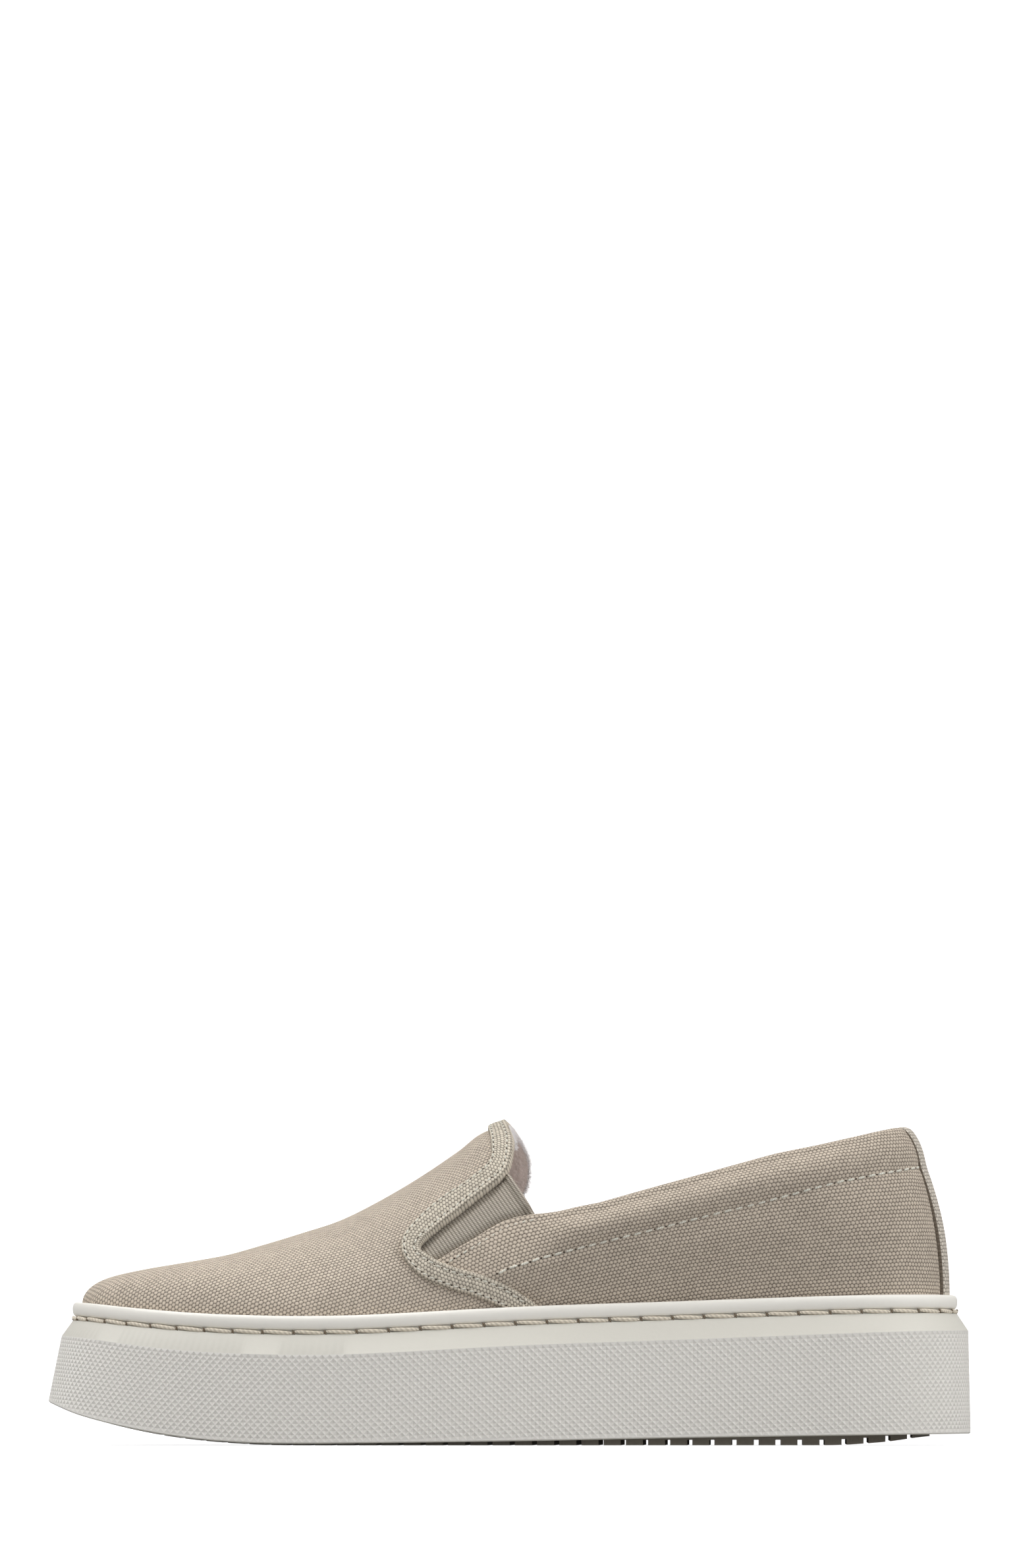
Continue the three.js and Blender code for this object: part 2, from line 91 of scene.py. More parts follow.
@dataclass(frozen=True)
class Table:
    """Rows of shares along the shoe, read as a smooth curve through them."""

    columns: tuple[str, ...]
    rows: tuple[tuple[float, ...], ...]

    def column(self, name: str) -> np.ndarray:
        """Returns one column of the table."""
        return np.array([row[self.columns.index(name)] for row in self.rows])

    def read(self, name: str, along: np.ndarray) -> np.ndarray:
        """Reads a column at places along the shoe.

        Args:
            name: The column.
            along: Shares of the length from the toe.

        Returns:
            The column's value at each place.
        """
        knots, values = self.column("along"), self.column(name)
        last = len(knots) - 1
        low = np.maximum(np.arange(last + 1) - 1, 0)
        high = np.minimum(np.arange(last + 1) + 1, last)
        slopes = (values[high] - values[low]) / (knots[high] - knots[low])
        x = np.clip(along, knots[0], knots[-1])
        i = np.clip(np.searchsorted(knots, x) - 1, 0, last - 1)
        span = knots[i + 1] - knots[i]
        t = (x - knots[i]) / span
        rise = (3 - 2 * t) * t * t
        return (
            (1 - rise) * values[i]
            + rise * values[i + 1]
            + (t - 1) ** 2 * t * span * slopes[i]
            + (t - 1) * t * t * span * slopes[i + 1]
        )


@dataclass
class Last:
    """The form that the shoe is built on, in millimetres, with the outline of its sole."""

    sole_length: float = 276
    ball_width: float = 98
    heel_width: float = 76
    sole_height: float = 44.6
    wall_drop: float = 11.4
    bevel_reach: float = 3.2
    rim_width: float = 2.6
    rim_heel: float = 0.7
    instep_rise: float = 53.2
    toe_centre: float = 0.21
    heel_centre: float = 0.845
    end_blend: float = 7
    gap: float = 0.3
    foot_level: float = -0.045  # where the cloth ends under the rim
    toe_tip: float = 0.143
    heel_tip: float = 0.026
    below: int = 8  # rows of the form under the rim
    below_step: float = 1.5
    fineness: int = 24  # columns of the form to a span of its outline
    levels: int = 160

    outline = Table(
        ("along", "lateral", "medial", "at_heel"),
        (
            (0.017, 0.049, 0.291, 0),
            (0.039, 0.141, 0.362, 0),
            (0.089, 0.264, 0.439, 0),
            (0.146, 0.359, 0.478, 0),
            (0.225, 0.451, 0.498, 0),
            (0.29, 0.486, 0.5, 0),
            (0.36, 0.5, 0.478, 0),
            (0.44, 0.493, 0.418, 0),
            (0.53, 0.464, 0.365, 0),
            (0.62, 0.55, 0.45, 1),
            (0.71, 0.511, 0.476, 1),
            (0.8, 0.487, 0.508, 1),
            (0.87, 0.468, 0.513, 1),
            (0.925, 0.405, 0.455, 1),
            (0.965, 0.297, 0.35, 1),
            (0.987, 0.174, 0.226, 1),
        ),
    )
    sides = Table(
        ("along", "spring", "lip", "rim", "flare"),
        (
            (0, 0.283, 0.288, 0.972, 0.34),
            (0.04, 0.19, 0.195, 0.95, 0.3),
            (0.1, 0.1, 0.106, 0.908, 0.22),
            (0.16, 0.04, 0.047, 0.875, 0.17),
            (0.22, 0.009, 0.017, 0.857, 0.145),
            (0.28, 0, 0.011, 0.85, 0.14),
            (0.35, 0, 0.015, 0.858, 0.135),
            (0.52, 0, 0.029, 0.914, 0.12),
            (0.66, 0, 0.046, 0.945, 0.11),
            (0.84, 0, 0.063, 0.985, 0.09),
            (0.9, 0.02, 0.068, 0.994, 0.075),
            (0.945, 0.054, 0.072, 0.998, 0.062),
            (1, 0.075, 0.076, 1, 0.05),
        ),
    )
    form = Table(
        ("along", "roof", "ridge", "plan", "rise"),
        (
            (0.03, 0.09, 0.1, 10, 1.9),
            (0.1, 0.143, 0.1, 5.2, 1.8),
            (0.19, 0.218, 0.09, 3.4, 1.75),
            (0.232, 0.279, 0.085, 3, 1.75),
            (0.275, 0.348, 0.075, 2.7, 1.75),
            (0.318, 0.422, 0.065, 2.5, 1.7),
            (0.361, 0.533, 0.052, 2.35, 1.68),
            (0.404, 0.664, 0.04, 2.25, 1.68),
            (0.447, 0.815, 0.028, 2.15, 1.7),
            (0.4685, 0.903, 0.023, 2.12, 1.72),
            (0.4987, 0.966, 0.018, 2.1, 1.77),
            (0.54, 1.06, 0.012, 2.1, 1.9),
            (0.61, 1.24, 0.005, 2.05, 2.1),
            (0.72, 1.3, 0.008, 2, 2.2),
            (0.845, 1.32, 0.018, 2, 2.2),
            (1, 1.32, 0.02, 2.03, 1.88),
        ),
    )

    def __post_init__(self) -> None:
        """Lays out the outline and the fine grid of the form."""
        lateral = [(self.x_at(a), -w * self._width(h)) for a, w, _, h in self.outline.rows]
        medial = [(self.x_at(a), w * self._width(h)) for a, _, w, h in self.outline.rows]
        toe = (self.x_at(0), self.toe_tip * self.ball_width)
        heel = (self.x_at(1), self.heel_tip * self.heel_width)
        self.knots = np.array([toe, *lateral, heel, *reversed(medial)])
        self.spans = len(self.knots)
        self.heel_at = self.spans / 2
        self.columns = np.arange(self.spans * self.fineness + 1) / self.fineness
        self.points = self._fine_grid()
        self.normals = self._fine_normals()
        faces = self._fine_faces()
        self.tree = BVHTree.FromPolygons(self.points.reshape(-1, 3).tolist(), faces, all_triangles=False)

    def _width(self, at_heel: int) -> float:
        """The width that a row of the outline is a share of."""
        return self.heel_width if at_heel else self.ball_width

    def x_at(self, along: np.ndarray) -> np.ndarray:
        """The X of a share of the length from the toe."""
        return (along - 0.5) * self.sole_length

    def along(self, x: np.ndarray) -> np.ndarray:
        """The share of the length from the toe at an X."""
        return x / self.sole_length + 0.5

    def side(self, name: str, x: np.ndarray) -> np.ndarray:
        """Reads a height of the sole's side at an X."""
        return np.maximum(self.sides.read(name, self.along(x)), 0) * self.sole_height

    def edge(self, column: np.ndarray) -> np.ndarray:
        """The sole's outline in plan.

        Args:
            column: Places round it, in spans from the toe tip along the lateral side.

        Returns:
            X and Y of each place.
        """
        i = np.floor(column).astype(int)
        w = (column - i)[..., None]
        p = [self.knots[(i + k) % self.spans] for k in (-1, 0, 1, 2)]
        d = [np.sqrt(np.linalg.norm(p[k + 1] - p[k], axis=-1))[..., None] for k in range(3)]
        start = ((p[1] - p[0]) / d[0] - (p[2] - p[0]) / (d[0] + d[1]) + (p[2] - p[1]) / d[1]) * d[1]
        end = ((p[2] - p[1]) / d[1] - (p[3] - p[1]) / (d[1] + d[2]) + (p[3] - p[2]) / d[2]) * d[1]
        c2 = -3 * p[1] + 3 * p[2] - 2 * start - end
        c3 = 2 * p[1] - 2 * p[2] + start + end
        return p[1] + w * (start + w * (c2 + w * c3))

    def out(self, column: np.ndarray) -> np.ndarray:
        """The outward direction of the outline in plan."""
        tangent = unit(self.edge(column + 1e-3) - self.edge(column - 1e-3))
        return np.stack([tangent[..., 1], -tangent[..., 0]], -1)

    def inset(self, column: np.ndarray, by: np.ndarray) -> np.ndarray:
        """The outline's places, moved in by a length."""
        by = np.broadcast_to(np.asarray(by, float), column.shape)
        return self.edge(column) - self.out(column) * by[..., None]

    def bevel_inset(self, column: np.ndarray) -> np.ndarray:
        """How far the top of the bevel is in from the sole's edge."""
        along = self.along(self.edge(column)[..., 0])
        return self.sides.read("flare", along) * self.wall_drop + self.bevel_reach

    def rim_inset(self, column: np.ndarray) -> np.ndarray:
        """How far the inner side of the rim is in from the sole's edge."""
        along = self.along(self.edge(column)[..., 0])
        return self.bevel_inset(column) + self.rim_width + self.rim_heel * smooth(0.93, 0.995, along)

    def _head_x(self, column: np.ndarray) -> np.ndarray:
        """Where on the ridge a column ends, the same for both of its sides.

        Args:
            column: Places round the outline, in spans.

        Returns:
            The X of each column's end.
        """
        near = np.minimum(column, self.spans - column)
        foot = self.inset(near, self.rim_inset(near) + self.gap)[..., 0]
        toe, heel = self.x_at(self.toe_centre), self.x_at(self.heel_centre)
        from_toe = toe + self.end_blend * np.logaddexp(0, (foot - toe) / self.end_blend)
        return heel - self.end_blend * np.logaddexp(0, (heel - from_toe) / self.end_blend)

    def _fine_grid(self) -> np.ndarray:
        """The form as rows of points from under the rim up to the ridge, evenly spaced by length.

        Returns:
            The rows of points.
        """
        column = self.columns
        foot = self.inset(column, self.rim_inset(column) + self.gap)
        head_x = self._head_x(column)
        head = np.stack([head_x, self.form.read("ridge", self.along(head_x)) * self.ball_width], -1)
        along = self.along(foot[:, 0])
        plan, rise = self.form.read("plan", along), self.form.read("rise", along)
        rim = self.side("rim", foot[:, 0])
        share = np.linspace(0, 1, 181)[:, None]
        out = np.cos(share * math.pi / 2) ** ((1 - share) * 2 / plan + share)
        out[-1] = 0
        flat = head + (foot - head) * out[..., None]
        roof = self.sole_height + self.form.read("roof", self.along(flat[..., 0])) * self.instep_rise
        arch = np.maximum(1 - out**plan, 0) ** (1 / rise)
        path = np.concatenate([flat, (rim + (roof - rim) * arch)[..., None]], -1)
        steps = np.linalg.norm(np.diff(path, axis=0), axis=-1)
        length = np.concatenate([np.zeros((1, len(column))), np.cumsum(steps, 0)])
        self.girth = length[-1]
        wanted = np.linspace(0, 1, self.levels + 1)
        rows = np.stack(
            [
                [np.interp(wanted * length[-1, i], length[:, i], path[:, i, k]) for k in range(3)]
                for i in range(len(column))
            ]
        )
        grid = rows.transpose(2, 0, 1)
        under = np.repeat(grid[:1], self.below, 0)
        under[..., 2] -= (self.below - np.arange(self.below))[:, None] * self.below_step
        return np.concatenate([under, grid])

    def _fine_normals(self) -> np.ndarray:
        """The outward normal at each point of the fine grid.

        Returns:
            The normals, row by row.
        """
        ring = self.points[:, :-1]
        across = np.roll(ring, -1, 1) - np.roll(ring, 1, 1)
        up = np.gradient(ring, axis=0)
        flat = np.linalg.norm(across, axis=-1) < 1e-3
        normal = unit(np.cross(across, up))
        normal[flat] = (0, 0, 1)
        ridge = normal[-2] + np.roll(normal[-2][::-1], 1, 0)
        normal[-1] = unit(ridge)
        return np.concatenate([normal, normal[:, :1]], 1)

    def _fine_faces(self) -> list[tuple[int, int, int, int]]:
        """The quads of the fine grid.

        Returns:
            The corners of each quad.
        """
        rows, columns = self.points.shape[:2]
        return [
            (r * columns + c, r * columns + c + 1, (r + 1) * columns + c + 1, (r + 1) * columns + c)
            for r in range(rows - 1)
            for c in range(columns - 1)
        ]

    def _sample(self, grid: np.ndarray, column: np.ndarray, level: np.ndarray) -> np.ndarray:
        """Reads a fine grid between its points.

        Args:
            grid: The fine grid to read.
            column: Places round the outline, in spans.
            level: Shares of the girth.

        Returns:
            The grid's value at each place.
        """
        u = np.clip(column, 0, self.spans) * self.fineness
        v = np.clip(level * self.levels + self.below, 0, grid.shape[0] - 1)
        i = np.minimum(np.floor(u).astype(int), grid.shape[1] - 2)
        j = np.minimum(np.floor(v).astype(int), grid.shape[0] - 2)
        a, b = (u - i)[..., None], (v - j)[..., None]
        low = grid[j, i] * (1 - a) + grid[j, i + 1] * a
        high = grid[j + 1, i] * (1 - a) + grid[j + 1, i + 1] * a
        return low * (1 - b) + high * b

    def at(self, column: np.ndarray, level: np.ndarray) -> np.ndarray:
        """Points of the form, at spans round the outline and shares of the girth up from the rim."""
        column, level = np.broadcast_arrays(np.asarray(column, float), np.asarray(level, float))
        return self._sample(self.points, column, level)

    def normal(self, column: np.ndarray, level: np.ndarray) -> np.ndarray:
        """Outward normals at the same places."""
        column, level = np.broadcast_arrays(np.asarray(column, float), np.asarray(level, float))
        return unit(self._sample(self.normals, column, level))

    def up(self, column: np.ndarray, level: np.ndarray) -> np.ndarray:
        """The direction along the form towards its ridge."""
        return unit(self.at(column, level + 0.004) - self.at(column, level - 0.004))

    def level_of(self, line: np.ndarray) -> np.ndarray:
        """Where each fine column first reaches a line that is drawn from the side.

        Args:
            line: The line's points, as X and Z with X rising.

        Returns:
            The level for each fine column.
        """
        form = self.points[self.below :]
        over = form[..., 2] - np.interp(form[..., 0], line[:, 0], line[:, 1])
        first = np.clip(np.argmax(over >= 0, axis=0), 1, self.levels)
        columns = np.arange(form.shape[1])
        low, high = over[first - 1, columns], over[first, columns]
        part = np.where(high > low, -low / np.maximum(high - low, 1e-9), 0)
        return (first - 1 + np.clip(part, 0, 1)) / self.levels

    def place(self, points: np.ndarray, side: Side) -> np.ndarray:
        """Finds the column and the level of points on one side of the form.

        Args:
            points: Points on it, in millimetres.
            side: The side that they are on.

        Returns:
            The column and the level of each.
        """
        width = self.points.shape[1] - 1
        found = []
        for p in points:
            face = self.tree.find_nearest(Vector(p))[2]
            r, c = divmod(face, width)
            corner, right, above = self.points[r, c], self.points[r, c + 1], self.points[r + 1, c]
            basis = np.stack([right - corner, above - corner], 1)
            share = np.linalg.lstsq(basis, p - corner, rcond=None)[0]
            s, t = np.clip(share, 0, 1)
            column = (c + s) / self.fineness
            pick = min if side is Side.LATERAL else max
            found.append((pick(column, self.spans - column), (r + t - self.below) / self.levels))
        return np.array(found)

    def drape(self, points: np.ndarray) -> tuple[np.ndarray, np.ndarray]:
        """Lays points on the form.

        Args:
            points: Points near it.

        Returns:
            The nearest points of the form and the outward directions there.
        """
        found = [self.tree.find_nearest(Vector(p)) for p in points]
        places = np.array([list(f[0]) for f in found])
        normals = np.array([list(f[1]) for f in found])
        inwards = (normals * (places - np.array([0, 0, 30]))).sum(-1) < 0
        normals[inwards] *= -1
        return places, normals

    def from_side(self, line: np.ndarray, side: Side) -> np.ndarray:
        """Throws a line that is drawn from the side onto the form.

        Args:
            line: X and Z of its points.
            side: The side of the shoe that it is thrown onto.

        Returns:
            The points on the form.
        """
        middle = self.form.read("ridge", self.along(line[:, 0])) * self.ball_width
        found = []
        for (x, z), y in zip(line, middle):
            start = Vector((x, y + side.value * 90, z))
            hit = self.tree.ray_cast(start, Vector((0, -side.value, 0)), 90)[0]
            found.append(list(hit) if hit else list(self.tree.find_nearest(Vector((x, y, z)))[0]))
        return np.array(found)


def soften(line: np.ndarray, count: int) -> np.ndarray:
    """Draws a smooth curve through a line's points and spaces it evenly.

    Args:
        line: The points to pass through.
        count: The number of points to return.

    Returns:
        The evenly spaced points.
    """
    ends = np.concatenate([2 * line[:1] - line[1:2], line, 2 * line[-1:] - line[-2:-1]])
    t = np.linspace(0, 1, 16, endpoint=False)[:, None]
    fine = []
    for a, b, c, d in zip(ends, ends[1:], ends[2:], ends[3:]):
        curve = 2 * b + (c - a) * t + (2 * a - 5 * b + 4 * c - d) * t**2
        fine.append(0.5 * (curve + (3 * b - a - 3 * c + d) * t**3))
    fine = np.concatenate([*fine, line[-1:]])
    return evenly(fine, count)


def evenly(line: np.ndarray, count: int) -> np.ndarray:
    """Spaces points evenly along a line."""
    length = running(line)
    return read_line(line, length, np.linspace(0, length[-1], count))


def running(line: np.ndarray) -> np.ndarray:
    """The length of a line of points up to each of them."""
    return np.concatenate([[0], np.cumsum(np.linalg.norm(np.diff(line, axis=0), axis=1))])


def read_line(line: np.ndarray, length: np.ndarray, wanted: np.ndarray) -> np.ndarray:
    """Reads a line of points at wanted lengths, given the length up to each point."""
    return np.stack([np.interp(wanted, length, line[:, k]) for k in range(line.shape[1])], 1)


def rounded(edge: np.ndarray, radius: float) -> np.ndarray:
    """The share of its height that a rounded edge reaches at lengths in from it."""
    return np.sqrt(np.clip(1 - (1 - np.clip(edge / radius, 0, 1)) ** 2, 0, 1))


def length_of(line: np.ndarray) -> float:
    """The length of a line of points."""
    return float(np.linalg.norm(np.diff(line, axis=0), axis=1).sum())


class Bench:
    """Makes meshes from primitives and shapes them in place."""

    @staticmethod
    def only(piece: Object) -> None:
        """Makes a piece the only selected one, and the active one.

        Args:
            piece: The piece.
        """
        bpy.ops.object.select_all(action="DESELECT")
        piece.select_set(True)
        bpy.context.view_layer.objects.active = piece

    @classmethod
    def sheet(cls, name: str, points: np.ndarray, uv: np.ndarray | None = None) -> Object:
        """Adds a grid and moves its vertices to their places.

        Args:
            name: The piece's name.
            points: Rows of points in millimetres.
            uv: The cloth's own coordinates of each point, in millimetres.

        Returns:
            The new piece.
        """
        rows, columns = points.shape[:2]
        bpy.ops.object.select_all(action="DESELECT")
        bpy.ops.mesh.primitive_grid_add(x_subdivisions=columns - 1, y_subdivisions=rows - 1, size=1)
        piece = bpy.context.active_object
        piece.name = piece.data.name = name
        mesh = piece.data
        cls.move(piece, points * MM)
        if uv is not None:
            index = np.zeros(len(mesh.loops), int)
            mesh.loops.foreach_get("vertex_index", index)
            mesh.uv_layers.active.data.foreach_set("uv", uv.reshape(-1, 2)[index].ravel())
        mesh.update()
        return piece

    @classmethod
    def edit(cls, piece: Object, *steps: tuple) -> None:
        """Runs edit-mode steps on a whole piece.

        Args:
            piece: The piece.
            steps: Each an operator with its settings, as (operator, settings).
        """
        cls.only(piece)
        bpy.ops.object.mode_set(mode="EDIT")
        bpy.ops.mesh.select_all(action="SELECT")
        for operator, settings in steps:
            operator(**settings)
        bpy.ops.object.mode_set(mode="OBJECT")

    @classmethod
    def weld(cls, piece: Object, distance: float = 1e-3) -> None:
        """Merges the points of a piece that lie together and turns its faces out.

        Args:
            piece: The piece.
            distance: How near the points lie, in millimetres.
        """
        cls.edit(
            piece,
            (bpy.ops.mesh.remove_doubles, {"threshold": distance * MM}),
            (bpy.ops.mesh.dissolve_degenerate, {"threshold": distance * MM * 0.5}),
            (bpy.ops.mesh.select_all, {"action": "SELECT"}),
            (bpy.ops.mesh.normals_make_consistent, {"inside": False}),
        )

    @classmethod
    def apply(cls, piece: Object, kind: str, **settings: object) -> None:
        """Adds a modifier with its settings and applies it.

        Args:
            piece: The piece.
            kind: The modifier's type.
            settings: The modifier's settings.
        """
        cls.only(piece)
        modifier = piece.modifiers.new(kind.title(), kind)
        for key, value in settings.items():
            setattr(modifier, key, value)
        bpy.ops.object.modifier_apply(modifier=modifier.name)

    @classmethod
    def shade(cls, piece: Object, angle: float = 40) -> None:
        """Shades a piece smooth, with sharp edges over an angle in degrees."""
        cls.only(piece)
        bpy.ops.object.shade_smooth_by_angle(angle=math.radians(angle))

    @staticmethod
    def dress(piece: Object, slot: Slot, *materials: Material) -> Object:
        """Gives a piece its materials, and lets it ride with the shoe.

        Args:
            piece: The piece.
            slot: Not used.
            materials: Its materials.

        Returns:
            The same piece.
        """
        if not piece.data.materials:
            for material in materials:
                piece.data.materials.append(material)
        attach(piece, ROOT)
        return piece

    @classmethod
    def finish(cls, piece: Object, angle: float, slot: Slot, *materials: Material) -> Object:
        """Welds, shades and dresses a piece.

        Args:
            piece: The piece.
            angle: The angle of a sharp edge.
            slot: Its slot.
            materials: Its materials.

        Returns:
            The same piece.
        """
        cls.weld(piece)
        cls.shade(piece, angle)
        return cls.dress(piece, slot, *materials)

    @staticmethod
    def corners(piece: Object) -> np.ndarray:
        """The places of a piece's vertices, in its mesh's own units.

        Args:
            piece: The piece.

        Returns:
            A row for each vertex.
        """
        places = np.zeros(len(piece.data.vertices) * 3)
        piece.data.vertices.foreach_get("co", places)
        return places.reshape(-1, 3)

    @staticmethod
    def move(piece: Object, places: np.ndarray) -> None:
        """Puts a piece's vertices in their places."""
        piece.data.vertices.foreach_set("co", places.ravel())

    @classmethod
    def ball(cls, segments: int, rings: int, radii: tuple[float, float, float]) -> Object:
        """Adds a ball with a radius along each axis, to be copied.

        Args:
            segments: Its faces round each ring.
            rings: Its rings.
            radii: Its radius along each axis.

        Returns:
            The ball.
        """
        bpy.ops.mesh.primitive_uv_sphere_add(segments=segments, ring_count=rings, radius=1)
        cls.move(bpy.context.active_object, cls.corners(bpy.context.active_object) * radii)
        return bpy.context.active_object

    @staticmethod
    def paint(piece: Object, chosen: np.ndarray) -> None:
        """Sets each face's material index."""
        piece.data.polygons.foreach_set("material_index", chosen.astype(np.int32))
        piece.data.update()

    @staticmethod
    def centres(piece: Object) -> np.ndarray:
        """The middle of each face, in millimetres.

        Args:
            piece: The piece.

        Returns:
            A row for each face.
        """
        places = np.zeros(len(piece.data.polygons) * 3)
        piece.data.polygons.foreach_get("center", places)
        return places.reshape(-1, 3) / MM

    @classmethod
    def copies(
        cls,
        name: str,
        pattern: Object,
        places: np.ndarray,
        axes: np.ndarray,
        slot: Slot,
        material: Material,
        tone: np.ndarray | None = None,
    ) -> Object:
        """Copies a pattern to many places and joins and dresses the copies.

        Args:
            name: The new piece's name.
            pattern: The piece to copy, modelled at the origin in millimetres. It is removed.
            places: Where each copy goes.
            axes: For each copy, its own X, Y and Z directions, as rows.
            slot: The new piece's material slot.
            material: Its material.
            tone: For each vertex of the pattern, how light it is, as painted shade.

        Returns:
            The joined piece.
        """
        mesh = pattern.data
        local = cls.corners(pattern)
        faces = [tuple(p.vertices) for p in mesh.polygons]
        world = (np.einsum("vk,nkj->nvj", local, axes) + places[:, None]) * MM
        made = bpy.data.meshes.new(name)
        every = [tuple(i + n * len(local) for i in f) for n in range(len(places)) for f in faces]
        made.from_pydata(world.reshape(-1, 3).tolist(), [], every)
        source = mesh.uv_layers.active
        if source:
            uv = np.zeros(len(mesh.loops) * 2)
            source.data.foreach_get("uv", uv)
            made.uv_layers.new(name="UVMap").data.foreach_set("uv", np.tile(uv, len(places)))
        if tone is not None:
            tones = made.attributes.new("tone", "FLOAT", "POINT")
            tones.data.foreach_set("value", np.tile(tone, len(places)))
        piece = bpy.data.objects.new(name, made)
        bpy.context.scene.collection.objects.link(piece)
        bpy.data.objects.remove(pattern)
        cls.edit(piece, (bpy.ops.mesh.normals_make_consistent, {"inside": False}))
        cls.shade(piece, 60)
        return cls.dress(piece, slot, material)

    @classmethod
    def lay_cloth(cls, piece: Object, angle: float, patch: np.ndarray, faces: np.ndarray) -> None:
        """Turns the cloth of a sheet that is already unfolded flat, so that its rows have a slope from the side.

        Args:
            piece: The sheet, with faces on the lateral side.
            angle: The slope of the rows there, in degrees.
            patch: For each face, whether the slope is read on it.
            faces: For each face, whether it belongs to this piece of cloth.
        """
        mesh = piece.data
        corner = np.array([p.vertices[:] for p in mesh.polygons])
        first = np.array([p.loop_start for p in mesh.polygons])
        co = cls.corners(piece) / MM
        layer = mesh.uv_layers.active.data
        uv = np.zeros(len(mesh.loops) * 2)
        layer.foreach_get("uv", uv)
        uv = uv.reshape(-1, 2)
        e1, e2 = (co[corner[patch, k]] - co[corner[patch, 0]] for k in (1, 3))
        f1, f2 = (uv[first[patch] + k] - uv[first[patch]] for k in (1, 3))
        wanted = np.array([math.cos(math.radians(angle)), 0, math.sin(math.radians(angle))])
        basis = np.stack([e1, e2], 1)
        gram = basis @ basis.transpose(0, 2, 1)
        right = basis @ wanted
        share = np.linalg.solve(gram, right[..., None])[..., 0]
        step = (share[:, :1] * f1 + share[:, 1:] * f2).mean(0)
        turn, scale = math.atan2(step[1], step[0]), 1 / math.hypot(*step)
        spin = scale * np.array([[math.cos(turn), -math.sin(turn)], [math.sin(turn), math.cos(turn)]])
        loops = np.concatenate([np.arange(s, s + 4) for s in first[faces]])
        uv[loops] = uv[loops] @ spin
        layer.foreach_set("uv", uv.ravel())


@dataclass(frozen=True)
class Fold:
    """A soft ridge or trough of the cloth, seen from the side in millimetres."""

    side: Side
    x: float
    z: float
    long: float
    wide: float
    turn: float
    rise: float

    def at(self, place: np.ndarray) -> np.ndarray:
        """How far it lifts the cloth at places on its side.

        Args:
            place: The places, in millimetres.

        Returns:
            The lift at each place.
        """
        turn = math.radians(self.turn)
        x, z = place[..., 0] - self.x, place[..., 2] - self.z
        along = (x * math.cos(turn) + z * math.sin(turn)) / self.long
        across = (z * math.cos(turn) - x * math.sin(turn)) / self.wide
        return self.rise * np.exp(-(along**2) - across**2)


